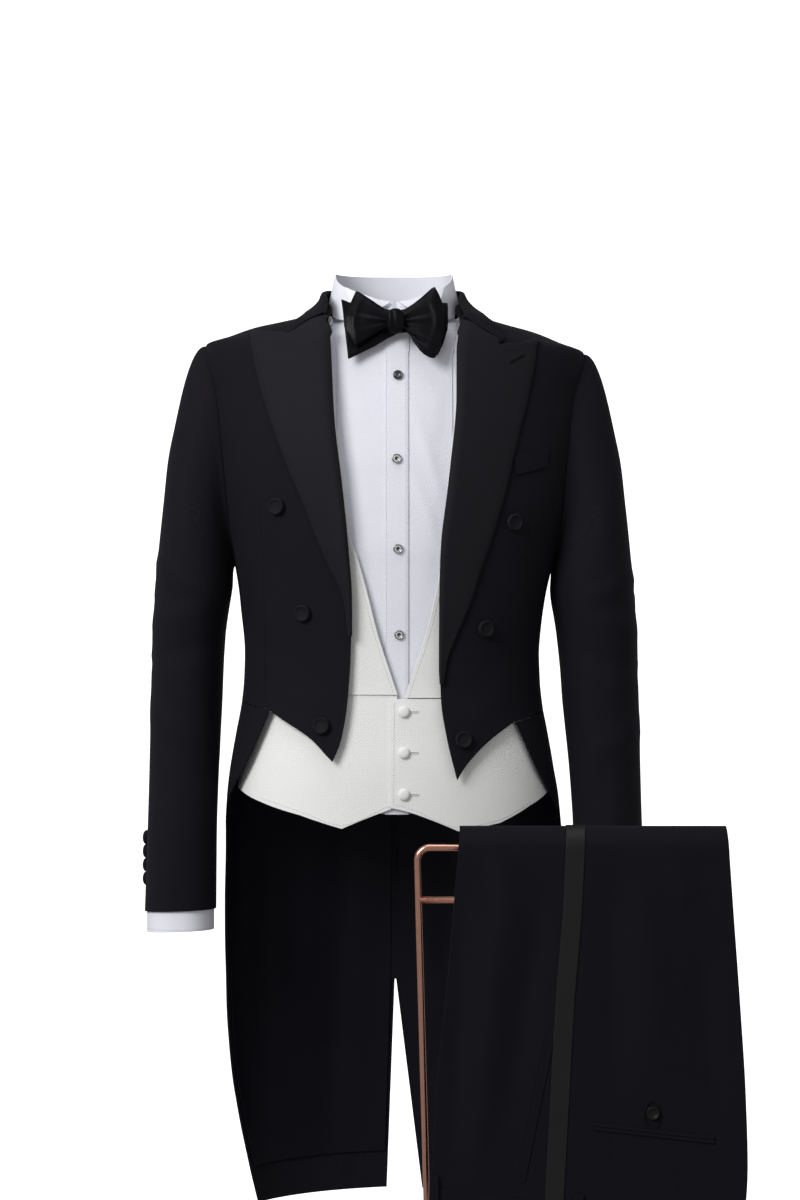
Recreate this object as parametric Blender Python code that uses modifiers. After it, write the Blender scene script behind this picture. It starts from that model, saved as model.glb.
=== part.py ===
"""Evening tailcoat set: tailcoat, waistcoat, dress shirt and bow tie as worn, and trousers over a rod rack.

Metres. The origin is the middle of the neck at the height where the coat collar is sewn on, +Z is up and the
front faces -Y. A place on the worn clothes is given as a turn round the body, in degrees from the middle of
the front, and a height. Side -1 is at -X and side 1 at +X, and the two fronts hang a little unlike.
A grid of points runs down in its rows, and from the front to the back of the body in its columns.
"""

from math import asin, degrees, pi, radians

import bmesh
import bpy
import numpy as np
from mathutils import Matrix, Vector
from mathutils.bvhtree import BVHTree

SEAM = 0.0003
SEAM_TURN = 0.07  # half of a seam's gap, as degrees round the body
COAT_WALL = 0.0020
LAPEL_WALL = 0.0016
LINING_WALL = 0.0012
WAISTCOAT_WALL = 0.0015
SHIRT_WALL = 0.0012
TROUSER_WALL = 0.0016

# How far the inner face of each layer lies inside the outer face of the coat.
WAISTCOAT_IN = 0.0107
WAISTCOAT_UNDER = 0.0020  # the lower waistband front lies this much further in at the middle
SHIRT_IN = 0.0182
SHOULDER_FROM = -0.20  # above this height a layer lies more below the next one, and less inside it
SHOULDER_RANGE = 0.14
SHOULDER_KEEPS = 0.62
BLADES_FROM = 0.020  # a layer lies looser over the back, from this depth on
BLADES_RANGE = 0.030
WAISTCOAT_LOOSE = 0.0021
SHIRT_LOOSE = 0.006
LAYER_BUNCH = 1.3  # the rows of the layers below the coat are closer near the shoulder

# The coat's outer form on a general figure: height, half width, depth to the front, depth to the back.
COAT_FORM = (
    (0.006, 0.0795, 0.0720, 0.0740),
    (-0.0035, 0.091, 0.079, 0.08),
    (-0.0105, 0.108, 0.084, 0.085),
    (-0.0172, 0.136, 0.089, 0.09),
    (-0.024, 0.168, 0.093, 0.095),
    (-0.034, 0.197, 0.097, 0.099),
    (-0.043, 0.223, 0.100, 0.103),
    (-0.060, 0.224, 0.104, 0.108),
    (-0.093, 0.221, 0.111, 0.115),
    (-0.146, 0.218, 0.120, 0.121),
    (-0.195, 0.212, 0.126, 0.121),
    (-0.243, 0.203, 0.129, 0.117),
    (-0.287, 0.191, 0.130, 0.111),
    (-0.304, 0.187, 0.129, 0.108),
    (-0.345, 0.180, 0.127, 0.100),
    (-0.410, 0.174, 0.124, 0.093),
    (-0.440, 0.175, 0.124, 0.093),
    (-0.468, 0.178, 0.126, 0.097),
    (-0.500, 0.184, 0.128, 0.103),
    (-0.540, 0.191, 0.131, 0.110),
    (-0.575, 0.196, 0.132, 0.115),
    (-0.645, 0.201, 0.133, 0.120),
    (-0.705, 0.206, 0.133, 0.123),
    (-0.765, 0.208, 0.133, 0.125),
    (-0.825, 0.208, 0.133, 0.127),
    (-0.898, 0.205, 0.133, 0.130),
    (-0.958, 0.200, 0.133, 0.132),
    (-1.018, 0.196, 0.133, 0.134),
    (-1.080, 0.194, 0.133, 0.135),
)
SQUARENESS = 2.3  # of a section of the form, 2 being an ellipse
HEART_HALF = 0.07  # points are laid on the form along rays from a line this long each way
HEART_TOP = -0.12  # at their own height, or at this one under the shoulders
NECKLINE = 0.0045
ROW_STEPS = 4  # steps between two rows of a table, where its line is read off the form
DROOP = 0.062  # the shoulder at +X drops by this share of the distance beyond the neck
DROOP_FROM = 0.070
DROOP_FOOT = -0.42  # and none at this height
DROOP_RANGE = 0.24

# Front edge of the coat from the neck down to its waist corner: distance from the middle, height.
FRONT_EDGE = {
    -1: ((0.0755, -0.014), (0.0733, -0.069), (0.0698, -0.138), (0.0618, -0.207), (0.0549, -0.276),
         (0.0503, -0.345), (0.0503, -0.391), (0.0537, -0.455), (0.0623, -0.508), (0.0715, -0.531)),
    1: ((0.0755, -0.018), (0.0715, -0.060), (0.0712, -0.115), (0.0623, -0.207), (0.0531, -0.289),
        (0.0519, -0.347), (0.0519, -0.418), (0.0531, -0.460), (0.0600, -0.505), (0.0715, -0.552)),
}
# Lower edge from that corner out to the waist seam, the same columns.
FRONT_HEM = {
    -1: ((0.0715, -0.531), (0.0781, -0.5245), (0.0974, -0.504), (0.1289, -0.482), (0.142, -0.472)),
    1: ((0.0715, -0.552), (0.0800, -0.538), (0.0961, -0.5196), (0.1200, -0.500), (0.142, -0.486)),
}
# Waist seam from there round to the middle of the back: turn, height.
WAIST_SEAM = {
    -1: ((50.5, -0.472), (75.0, -0.465), (110.0, -0.462), (180.0, -0.462)),
    1: ((50.5, -0.486), (75.0, -0.476), (110.0, -0.468), (180.0, -0.462)),
}
FRONT_SEAM_TURN = 75.0  # where the side body meets the front at the waist
BACK_SEAM = ((125.0, -0.250), (145.0, -0.310), (160.0, -0.380))  # between armhole and waist: turn, height
BACK_SEAM_TURN = 169.0
WAIST_GAP = 0.0009  # at the inner face: the waist is hollow, so the outer faces lean together

# Outer edge of the lapel from its point down to its end: distance from the middle, height.
LAPEL_EDGE = {
    -1: ((0.1672, -0.0335), (0.1650, -0.051), (0.1531, -0.103), (0.1381, -0.149), (0.1208, -0.195),
         (0.1035, -0.2355), (0.0805, -0.293), (0.0574, -0.345), (0.0520, -0.3865)),
    1: ((0.1645, -0.0365), (0.1605, -0.066), (0.1513, -0.1121), (0.1409, -0.1525), (0.1288, -0.2066),
        (0.1109, -0.2724), (0.0971, -0.3127), (0.0844, -0.3519), (0.0688, -0.3877), (0.0590, -0.4142),
        (0.0545, -0.4418)),
}
LAPEL_NOTCH = {-1: (0.1225, -0.0385), 1: (0.1195, -0.0465)}
LAPEL_THROAT = {-1: (0.0765, -0.0160), 1: (0.0760, -0.0210)}
LAPEL_STEPS = 13
LAPEL_BUNCH = 1.25
LAPEL_LIFT = 0.0028  # the lapel's inner face above the front, at its outer edge
LAPEL_ROLL_LIFT = 0.0045  # and at the roll

ARMHOLE_MIDDLE = -0.1750
ARMHOLE_HALF_HEIGHT = 0.1285
ARMHOLE_HALF_DEPTH = 0.050
ARM_STEP = 18  # degrees between the points round an armhole and a sleeve
FRONT_SEAM_ARM = 126  # degrees from the armhole's top round the front to the side body
BACK_SEAM_ARM = 252  # and on to the back

# The sleeve below its cap: height, outer x, inner x, front y, back y.
SLEEVE = (
    (-0.330, 0.2835, 0.1925, -0.072, 0.078),
    (-0.392, 0.2872, 0.2013, -0.071, 0.073),
    (-0.470, 0.2885, 0.2045, -0.070, 0.062),
    (-0.558, 0.2900, 0.2084, -0.071, 0.046),
    (-0.620, 0.2915, 0.2100, -0.073, 0.037),
    (-0.714, 0.2945, 0.2105, -0.072, 0.029),
)
SLEEVE_ROWS = 7
CAP_ROWS = 5
CAP_OUT = 0.065  # the cap leaves the armhole sideways by this share of its drop, and a little more
CAP_RIDGE = 0.004
CAP_DOWN = (-0.040, 0.0, 0.51)  # and joins the arm from this far up, as shares of its drop
SLEEVE_HEM_TILT = 0.004  # the inner and front parts of the hem are this much higher
SLEEVE_SEAM_TURN = 0.19
ARMHOLE_OUT = 0.0019  # the sleeve starts this far outside the body of the coat

# The tail: share of the way from waist to hem, turn at the seam by the back, turn at the front edge.
TAIL = (
    (0.00, 169.0, 50.5),
    (0.05, 168.8, 55.0),
    (0.11, 168.5, 62.0),
    (0.17, 168.0, 74.0),
    (0.22, 167.8, 86.0),
    (0.30, 167.4, 95.0),
    (0.40, 167.0, 101.0),
    (0.60, 166.0, 108.5),
    (0.80, 165.0, 116.5),
    (1.00, 164.0, 123.5),
)
TAIL_ROWS = (0.0, 0.055, 0.11, 0.165, 0.22, 0.31, 0.42, 0.55, 0.70, 0.85, 1.0)
TAIL_HEM_MIDDLE = -1.062
TAIL_HEM_EDGE = -1.072
VENT_TOP = 0.56  # share of the tail's length above the opening
VENT_OPENS = {-1: 0.010, 1: 0.033}  # how far the middle edge stands off at the hem
BACK_COLUMNS = 7
NECK_COLUMNS = 4  # of them that end at the neckline
FRONT_SKIRT_COLUMNS = 2  # of the skirt that hang under the front
LINING_FIRST_ROW = 4
LINING_IN = {-1: 0.0011, 1: 0.0009}
LINING_EDGE_SHARE = 0.43  # of the last columns and row that the lining stops short
LINING_HEM_SHARE = 0.50

# The collar from the middle of the back round to its front end: turn and height of its seam, height of its
# stand, turn and height of its outer edge. Its front end lies on the gorge.
COLLAR = (
    (180.0, 0.0045, 0.0215, 180.0, -0.017),
    (148.0, 0.0045, 0.0210, 150.0, -0.016),
    (118.0, 0.0045, 0.0180, 120.0, -0.0110),
    (90.0, 0.0045, 0.0145, 91.0, -0.0060),
    (62.0, 0.0010, 0.0095, 56.0, -0.0125),
    (47.0, -0.0070, 0.0060, 38.0, -0.0248),
)
COLLAR_END_STAND = 0.0030
COLLAR_STEPS = 9
COLLAR_LIFT = 0.0042
COLLAR_FOLD = 0.0030
COLLAR_LEAF = (0.35, 0.68)  # shares of the way over the form from seam to outer edge
COLLAR_ROLL = 0.8  # the leaf hangs from the fold by this share of the stand's height
COLLAR_LEAN = 0.30  # the stand leans in by this share of its height
GORGE_GAP = 0.0010
COLLAR_WALL_CLEAR = 0.0014

# Breast pocket welt: distance across and height of its four corners, lower inner corner first.
WELT = ((0.1400, -0.2010), (0.1770, -0.1900), (0.1775, -0.1690), (0.1365, -0.1790))
WELT_WALL = 0.0012

# Neck edge of the waistcoat from the shoulder down to its waist seam: distance across, height.
WAISTCOAT_V = {
    -1: ((-0.0745, -0.030), (-0.0735, -0.060), (-0.0700, -0.120), (-0.0605, -0.200), (-0.0508, -0.276),
         (-0.0442, -0.292), (-0.0323, -0.334), (-0.0193, -0.385), (-0.0072, -0.4226), (0.0034, -0.4544)),
    1: ((0.0745, -0.030), (0.0725, -0.060), (0.0700, -0.120), (0.0620, -0.200), (0.0545, -0.280),
        (0.0521, -0.310), (0.0417, -0.3605), (0.0311, -0.3989), (0.0206, -0.429), (0.0113, -0.458)),
}
WAISTCOAT_NECK = -0.0100  # height of the shoulder strap at its inner edge, then at its outer edge
WAISTCOAT_TIP = -0.0300
WAISTCOAT_ARMHOLE = ((52.0, -0.040), (38.5, -0.054), (36.0, -0.080), (35.0, -0.120), (39.0, -0.180),
                     (50.0, -0.240), (68.0, -0.295), (86.0, -0.335), (95.0, -0.345))
WAISTCOAT_SIDE_TURN = 95.0
WAISTBAND_TOP = {-1: -0.4547, 1: -0.4600}
WAISTCOAT_BACK_HEM = -0.562
# Lower edge of each waistband front from its middle edge to the side: distance across, height.
WAISTBAND_HEM = {
    -1: ((0.0034, -0.5835), (-0.0128, -0.5889), (-0.0612, -0.6085), (-0.1091, -0.5935), (-0.1551, -0.5797),
         (-0.1780, -0.5690)),
    1: ((-0.0055, -0.5840), (0.0233, -0.5912), (0.0732, -0.6114), (0.1211, -0.6027), (0.1556, -0.5843),
        (0.1780, -0.5690)),
}

SHIRT_NECK = -0.0046
SHIRT_TIP = -0.0420
SHIRT_ARMHOLE = ((56.0, -0.052), (47.0, -0.064), (46.0, -0.100), (47.0, -0.160), (60.0, -0.235),
                 (76.0, -0.280), (90.0, -0.300))
SHIRT_HEM_MIDDLE = -0.592
SHIRT_HEM_SIDE = -0.560
SHIRT_HEM = ((0.0, -0.592), (12.0, -0.588), (35.0, -0.570), (90.0, -0.560))  # turn, height
SHIRT_ROWS = 11
PLACKET = (-0.0113, 0.0158)  # from, to
PLACKET_WALL = 0.0010
BAND_TOP = ((0.0, 0.002), (10.0, 0.004), (25.0, 0.010), (50.0, 0.020), (75.0, 0.031), (95.0, 0.0415),
            (180.0, 0.043))  # turn, height
BAND_RISE = 0.0016  # above the shirt's neck edge, at the inner face
BAND_TAPER = 0.965
BAND_BELLY = 0.0055  # the band swells by this much at the sides, this far above its seam
BAND_BELLY_RISE = 0.0062
BAND_SIDES_FROM = 0.72
WING_TIP = (0.0430, -0.0790, -0.0200)
WING_TURNS = (10.0, 28.0, 46.0)  # of its fold along the collar band
WING_OUT = 1.02
WING_AHEAD = 0.0026
WING_END = ((-0.004, 0.0, 0.0), (0.0, 0.0, 0.0), (0.004, 0.002, 0.002))  # corners about the tip
WING_BEND = 0.6
WING_BELLY = 0.001
CUFF_TOP = -0.655
CUFF_END = -0.7335
CUFF_GAP = 0.0006
STUDS = ((0.0035, -0.085), (0.0021, -0.182), (0.0037, -0.286), (0.0050, -0.385))
STUD_RADIUS = 0.0056
STUD_THICK = 0.0035

COAT_BUTTONS = {-1: ((0.1355, -0.237), (0.1056, -0.360), (0.0837, -0.490)),
                1: ((0.1371, -0.255), (0.1038, -0.378), (0.0785, -0.506))}
COAT_BUTTON_RADIUS = 0.0100
COAT_BUTTON_THICK = 0.0065
WAISTCOAT_BUTTONS = ((0.0106, -0.474), (0.0106, -0.521), (0.0106, -0.569))
WAISTCOAT_BUTTON_RADIUS = 0.0068
WAISTCOAT_BUTTON_THICK = 0.0045
CUFF_BUTTON_HEIGHTS = (-0.627, -0.6432, -0.6594, -0.6756)
CUFF_BUTTON_RADIUS = 0.0085
CUFF_BUTTON_THICK = 0.0068
CUFF_BUTTON_Y = 0.012

# The bow, drawn by upright sections: x, middle height, height, thickness. It leans out with the chest.
BOW_LOOPS = (
    (-0.0580, -0.0210, 0.020, 0.0040),
    (-0.0510, -0.0200, 0.056, 0.0085),
    (-0.0410, -0.0185, 0.061, 0.0130),
    (-0.0265, -0.0205, 0.043, 0.0140),
    (-0.0120, -0.0215, 0.026, 0.0110),
    (0.0120, -0.0215, 0.026, 0.0110),
    (0.0255, -0.0250, 0.058, 0.0140),
    (0.0385, -0.0255, 0.077, 0.0130),
    (0.0490, -0.0240, 0.080, 0.0090),
    (0.0560, -0.0260, 0.054, 0.0050),
    (0.0595, -0.0190, 0.020, 0.0030),
)
BOW_BLADES = (
    (-0.0612, -0.0060, 0.018, 0.0022),
    (-0.0575, -0.0165, 0.038, 0.0026),
    (-0.0535, -0.0325, 0.070, 0.0030),
    (-0.0300, -0.0260, 0.050, 0.0030),
    (-0.0100, -0.0230, 0.026, 0.0030),
    (0.0100, -0.0230, 0.026, 0.0030),
    (0.0300, -0.0240, 0.050, 0.0030),
    (0.0560, -0.0200, 0.040, 0.0028),
    (0.0608, -0.0200, 0.036, 0.0022),
)
BOW_Y = -0.0905
BOW_LEAN = 0.33
BLADES_BACK = 0.0086
KNOT = (0.0008, -0.0230, 0.0115, 0.0048, 0.0145)  # x, height, half width, half depth, half height
KNOT_CLEAR = 0.0015
TIE_BAND_LOW = 0.0020
TIE_BAND_HIGH = 0.0100
TIE_BAND_OUT = 0.0013
TIE_BAND_MIDDLE = (0.0045, -0.0853, -0.0290, -0.0184)  # half width, y and the two heights behind the knot
TIE_BAND_TURNS = (8.0, 40.0)  # it shows nowhere beyond the bow, so it ends behind the blades, under the wings

ROD_RADIUS = 0.0037
RACK_Y = -0.300
RACK_TOP = -0.617
RACK_BOTTOM = -1.500
RACK_LEFT = 0.0250
RACK_RIGHT = 0.3440
RACK_LEAN = 0.0240  # each post's foot stands this much further in
RACK_CORNER = 0.014
RACK_CROSS_BAR = -0.6745
FOOT_LENGTH = 0.260
FOOT_WIDTH = 0.022
FOOT_THICK = 0.006

# The leg over the bar, in front and behind: distance below the fold, left edge, braid, right edge.
TROUSER_FRONT = (
    (0.000, 0.0715, 0.1985, 0.3638),
    (0.080, 0.0649, 0.1945, 0.3700),
    (0.180, 0.0562, 0.1862, 0.3780),
    (0.260, 0.0475, 0.1815, 0.3835),
    (0.330, 0.0431, 0.1775, 0.3857),
    (0.440, 0.0370, 0.1715, 0.3750),
)
TROUSER_BEHIND = (
    (0.000, 0.0715, 0.1985, 0.3638),
    (0.200, 0.0800, 0.2010, 0.3500),
    (0.400, 0.0920, 0.2040, 0.3300),
    (0.620, 0.1020, 0.2060, 0.3180),
)
TROUSER_MIDDLE_X = 0.20
FRONT_FALLS = (0.330, 0.260, 0.180, 0.100)
FOLD_TURNS = (-90, -54, -18, 18, 54, 90)
BEHIND_FALLS = (0.120, 0.240, 0.360, 0.480, 0.620)
TROUSER_OUT = 0.0225  # from the middle of the bar to the inner face of the outer layer
LEG_OUT = 0.0043  # and to that of the other leg, which lies on the bar
INNER_INSETS = (0.005, 0.002, 0.009, 0.002, 0.005)  # of the inner layers' edges, from the bar outwards
SEAM_FALL = 0.392  # from the fold to the waistband seam, at the left edge
SEAM_FALL_TILT = 0.130  # it drops by this much for each metre to the right
WAISTBAND_DEEP = 0.038
WAISTBAND_WALL = 0.0026
BELT_LOOPS = (0.0430, 0.2010)
BELT_LOOP_WIDTH = 0.010
BELT_LOOP_RISE = 0.014
BELT_LOOP_WALL = 0.0030
BELT_LOOP_FALL = 0.0342  # below the seam
BRAID_WIDTH = 0.0205
BRAID_WALL = 0.0008
POCKET_WELT = ((0.2166, -0.9156), (0.3497, -0.9309))  # upper corners: x, height
POCKET_WELT_DEEP = 0.0076
POCKET_BUTTON = (0.2820, -0.9047)
POCKET_BUTTON_RADIUS = 0.0074
POCKET_BUTTON_THICK = 0.004

BLACK_WOOL = ("black_wool", (0.012, 0.012, 0.015), 0.85, 0.0)
BLACK_SATIN = ("black_satin", (0.016, 0.016, 0.018), 0.42, 0.0)
LINING_SATIN = ("lining_satin", (0.006, 0.006, 0.012), 0.45, 0.0)
WHITE_PIQUE = ("white_pique", (0.83, 0.83, 0.81), 0.80, 0.0)
WHITE_COTTON = ("white_cotton", (0.80, 0.80, 0.87), 0.75, 0.0)
STUD_METAL = ("stud_metal", (0.55, 0.55, 0.55), 0.25, 1.0)
COPPER = ("copper_rod", (0.72, 0.36, 0.27), 0.25, 1.0)


def start_scene():
    """Clear the startup objects and make the collections."""
    for obj in list(bpy.data.objects):
        bpy.data.objects.remove(obj)
    for name in ("evening_set", "cutters"):
        bpy.context.scene.collection.children.link(bpy.data.collections.new(name))


def material(finish):
    """The Principled material of this finish, made once."""
    name, colour, rough, metal = finish
    made = bpy.data.materials.get(name)
    if made is None:
        made = bpy.data.materials.new(name)
        made.use_nodes = True
        shader = made.node_tree.nodes["Principled BSDF"]
        shader.inputs["Base Color"].default_value = (*colour, 1.0)
        shader.inputs["Roughness"].default_value = rough
        shader.inputs["Metallic"].default_value = metal
    return made


def place_object(name, mesh, finish, group="evening_set"):
    """A new object of this mesh, in its collection, with its material."""
    obj = bpy.data.objects.new(name, mesh)
    mesh.materials.append(material(finish))
    bpy.data.collections[group].objects.link(obj)
    if group == "cutters":
        obj.hide_render = True
        obj.display_type = "WIRE"
    return obj


def spline(keys, rows):
    """A smooth function through the rows that never swings past them."""
    keys = np.asarray(keys, float)
    rows = np.asarray(rows, float)
    rises = np.diff(rows, axis=0) / np.diff(keys)[:, None]
    before, after = rises[:-1], rises[1:]
    total = np.where(before + after == 0, 1.0, before + after)
    inner = np.where(before * after > 0, 2 * before * after / total, 0)
    slopes = np.vstack([rises[:1], inner, rises[-1:]])

    def value(at):
        at = np.clip(np.asarray(at, float), keys[0], keys[-1])
        i = np.clip(np.searchsorted(keys, at) - 1, 0, len(keys) - 2)
        step = (keys[i + 1] - keys[i])[..., None]
        s = (at - keys[i])[..., None] / step
        return ((1 + 2 * s) * (1 - s) ** 2 * rows[i] + s * (1 - s) ** 2 * step * slopes[i]
                + s * s * (3 - 2 * s) * rows[i + 1] + s * s * (s - 1) * step * slopes[i + 1])

    return value


form_down = spline([-row[0] for row in COAT_FORM], [row[1:] for row in COAT_FORM])


def form_sizes(height, inside):
    """Half width and the two depths of a layer this far inside the coat's outer face."""
    shoulder = np.clip((height - SHOULDER_FROM) / SHOULDER_RANGE, 0, 1)
    inset = inside * (1 - (1 - SHOULDER_KEEPS) * shoulder)
    sizes = form_down(-(height + inside * shoulder))
    return np.moveaxis(sizes, -1, 0) - inset


def on_form(grid, inside=0.0):
    """The places on the clothes of a grid of turns and heights."""
    turn = np.radians(grid[..., 0])
    height = grid[..., 1]
    half, front, back = form_sizes(height, inside)
    across, ahead = np.sin(turn), np.cos(turn)
    power = 2 / SQUARENESS
    x = half * np.sign(across) * np.abs(across) ** power
    y = -np.where(ahead > 0, front, back) * np.sign(ahead) * np.abs(ahead) ** power
    return np.stack([x, y, height], axis=-1)


def turn_at(x, height, inside=0.0):
    """The turn, on the front, of the place this far across."""
    half = float(form_sizes(np.float64(height), inside)[0])
    ratio = min(abs(x) / half, 1.0)
    return degrees(asin(ratio ** (SQUARENESS / 2))) * (1 if x >= 0 else -1)


def turns(rows, inside=0.0, side=1):
    """Rows of distance across and height as closer rows of turn and height, on the near side of the middle."""
    last = len(rows) - 1
    if last > 0:
        rows = spline(np.arange(last + 1), rows)(np.linspace(0, last, last * ROW_STEPS + 1))
    return [(turn_at(x * side, height, inside), height) for x, height in rows]


def samples(rows, count, straight=False, bunch=1.0):
    """Points along a line through the rows of turn and height, at even steps or bunched near its start."""
    rows = np.asarray(rows, float)
    lengths = np.linalg.norm(np.diff(rows, axis=0) * [radians(0.15), 1.0], axis=1)
    keys = np.concatenate([[0], np.cumsum(lengths)])
    at = np.linspace(0, 1, count + 1) ** bunch * keys[-1]
    if straight or len(rows) == 2:
        return np.stack([np.interp(at, keys, column) for column in rows.T], axis=-1)
    return spline(keys, rows)(at)


def patch(top, bottom, left, right):
    """The grid filled in between samples of its four edges."""
    u = np.linspace(0, 1, len(top))[None, :, None]
    v = np.linspace(0, 1, len(left))[:, None, None]
    corners = ((1 - u) * (1 - v) * top[0] + u * (1 - v) * top[-1]
               + (1 - u) * v * bottom[0] + u * v * bottom[-1])
    return (1 - v) * top[None] + v * bottom[None] + (1 - u) * left[:, None] + u * right[:, None] - corners


def fill(top, bottom, left, right, inside=0.0):
    """The grid filled in between four edges of turn and height, laid on the form."""
    points = patch(*[on_form(edge, inside) for edge in (top, bottom, left, right)])
    inner = points[1:-1, 1:-1]
    heart = np.stack([np.clip(inner[..., 0], -HEART_HALF, HEART_HALF), np.zeros(inner.shape[:2]),
                      np.minimum(inner[..., 2], HEART_TOP)], axis=-1)
    low, high = np.zeros(inner.shape[:2]), np.full(inner.shape[:2], 4.0)
    for _ in range(30):
        share = (low + high) / 2
        place = heart + (inner - heart) * share[..., None]
        half, front, back = form_sizes(place[..., 2], inside)
        depth = np.where(place[..., 1] < 0, front, back)
        outside = np.abs(place[..., 0] / half) ** SQUARENESS + np.abs(place[..., 1] / depth) ** SQUARENESS > 1
        high = np.where(outside, share, high)
        low = np.where(outside, low, share)
    points[1:-1, 1:-1] = heart + (inner - heart) * low[..., None]
    return points


def moved(points, out):
    """The grid moved this far outwards along its own normals."""
    down = np.gradient(points, axis=0)
    across = np.gradient(points, axis=1)
    normal = np.cross(down, across)
    return points + out * normal / np.linalg.norm(normal, axis=-1, keepdims=True)


def sheet(name, points, wall, finish, heart=(0.0, 0.0), grow=1, ring=False):
    """A wall on a grid of points. Grow 1 adds it away from the upright line at the heart, -1 towards it."""
    rows, columns = points.shape[:2]
    last = columns if ring else columns - 1
    faces = []
    for r in range(rows - 1):
        for c in range(last):
            d = (c + 1) % columns
            faces.append((r * columns + c, r * columns + d, (r + 1) * columns + d, (r + 1) * columns + c))
    flat = points.reshape(-1, 3)
    corners = flat[np.array(faces)]
    normals = np.cross(corners[:, 2] - corners[:, 0], corners[:, 3] - corners[:, 1])
    outward = ((corners.mean(axis=1)[:, :2] - heart) * normals[:, :2]).sum()
    if outward < 0:
        faces = [face[::-1] for face in faces]
    mesh = bpy.data.meshes.new(name)
    mesh.from_pydata([tuple(map(float, point)) for point in flat], [], faces)
    mesh.shade_smooth()
    obj = place_object(name, mesh, finish)
    shell = obj.modifiers.new("wall", "SOLIDIFY")
    shell.thickness = wall
    shell.offset = grow
    return obj


def loft(name, rings, finish):
    """A closed solid through rings of points, with flat ends."""
    count = len(rings[0])
    shape = bmesh.new()
    made = [[shape.verts.new(point) for point in ring] for ring in rings]
    for above, below in zip(made, made[1:]):
        for c in range(count):
            d = (c + 1) % count
            shape.faces.new((above[c], above[d], below[d], below[c]))
    shape.faces.new(made[0])
    shape.faces.new(made[-1][::-1])
    bmesh.ops.recalc_face_normals(shape, faces=shape.faces)
    mesh = bpy.data.meshes.new(name)
    shape.to_mesh(mesh)
    shape.free()
    mesh.shade_smooth()
    return place_object(name, mesh, finish)


def flip(points, side):
    """The grid on this side of the body. The shoulder at +X hangs a little lower."""
    if side < 0:
        return points * [-1.0, 1.0, 1.0]
    across = np.clip(points[..., 0] - DROOP_FROM, 0, None)
    above = np.clip((points[..., 2] - DROOP_FOOT) / DROOP_RANGE, 0, 1)
    lower = DROOP * across * above * above * (3 - 2 * above)
    return points - lower[..., None] * [0.0, 0.0, 1.0]


def sunk(points, deep):
    """The grid sunk this much further in where it lies over the shoulder blades."""
    share = np.clip((points[..., 1:2] - BLADES_FROM) / BLADES_RANGE, 0, 1)
    return points + share * (moved(points, -deep) - points)


def side_name(side):
    """The side as seen from the front."""
    return "left" if side < 0 else "right"


def seat(obj, start, direction):
    """Where a ray meets the finished surface of a piece, and the way that surface faces."""
    bpy.context.view_layer.update()
    tree = BVHTree.FromObject(obj, bpy.context.evaluated_depsgraph_get())
    place, normal, _, _ = tree.ray_cast(Vector(start), Vector(direction))
    return place, normal


def lens(name, radius, thick, place, normal, finish, group="evening_set"):
    """A round covered button or stud that rests on its place."""
    shape = bmesh.new()
    bmesh.ops.create_uvsphere(shape, u_segments=10, v_segments=6, radius=radius)
    bmesh.ops.scale(shape, vec=(1, 1, thick / (2 * radius)), verts=shape.verts)
    turn = Vector((0, 0, 1)).rotation_difference(normal).to_matrix().to_4x4()
    shift = Matrix.Translation(place + normal * (thick / 2 + SEAM))
    bmesh.ops.transform(shape, matrix=shift @ turn, verts=shape.verts)
    mesh = bpy.data.meshes.new(name)
    shape.to_mesh(mesh)
    shape.free()
    mesh.shade_smooth()
    return place_object(name, mesh, finish, group)


def join(obj, others):
    """Fuse the other solids into this one."""
    for other in others:
        union = obj.modifiers.new("join", "BOOLEAN")
        union.operation = "UNION"
        union.object = other


def armhole(degrees_round):
    """Turn and height on the armhole, these many degrees from its top round the front."""
    angle = np.radians(np.asarray(degrees_round, float))
    height = ARMHOLE_MIDDLE + ARMHOLE_HALF_HEIGHT * np.cos(angle)
    ahead = ARMHOLE_HALF_DEPTH * np.sin(angle)
    _, front, back = form_sizes(height, COAT_WALL)
    depth = np.where(ahead >= 0, front, back)
    away = np.degrees(np.arcsin((np.abs(ahead) / depth) ** (SQUARENESS / 2)))
    return np.stack([90 - np.sign(ahead) * away, height], axis=-1)


def waist_height(side, turn):
    """Height of the waist seam at this turn."""
    rows = WAIST_SEAM[side]
    return np.interp(turn, [row[0] for row in rows], [row[1] for row in rows])


def waist_turns():
    """The turns of the columns along the waist seam: under the front, then under the side body."""
    under_front = np.linspace(TAIL[0][2], FRONT_SEAM_TURN, FRONT_SKIRT_COLUMNS + 1)
    under_side = np.linspace(FRONT_SEAM_TURN, BACK_SEAM_TURN, (BACK_SEAM_ARM - FRONT_SEAM_ARM) // ARM_STEP + 1)
    return np.concatenate([under_front[:-1], under_side])


def front_seam(side):
    """The seam between front and side body, from the armhole down."""
    start = armhole([FRONT_SEAM_ARM])[0]
    end = (FRONT_SEAM_TURN, waist_height(side, FRONT_SEAM_TURN))
    return samples([start, end], 5)


def back_seam(side):
    """The seam between side body and back, from the armhole down."""
    start = armhole([BACK_SEAM_ARM])[0]
    end = (BACK_SEAM_TURN, waist_height(side, BACK_SEAM_TURN))
    return samples([start, *BACK_SEAM, end], 5)


def crest(start, end, count):
    """Points along the shoulder from one height to another."""
    heights = np.linspace(start, end, count + 1)
    return np.stack([np.full(count + 1, 90.0), heights], axis=-1)


def shoulder_tip():
    """Height of the armhole's top."""
    return ARMHOLE_MIDDLE + ARMHOLE_HALF_HEIGHT


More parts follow.
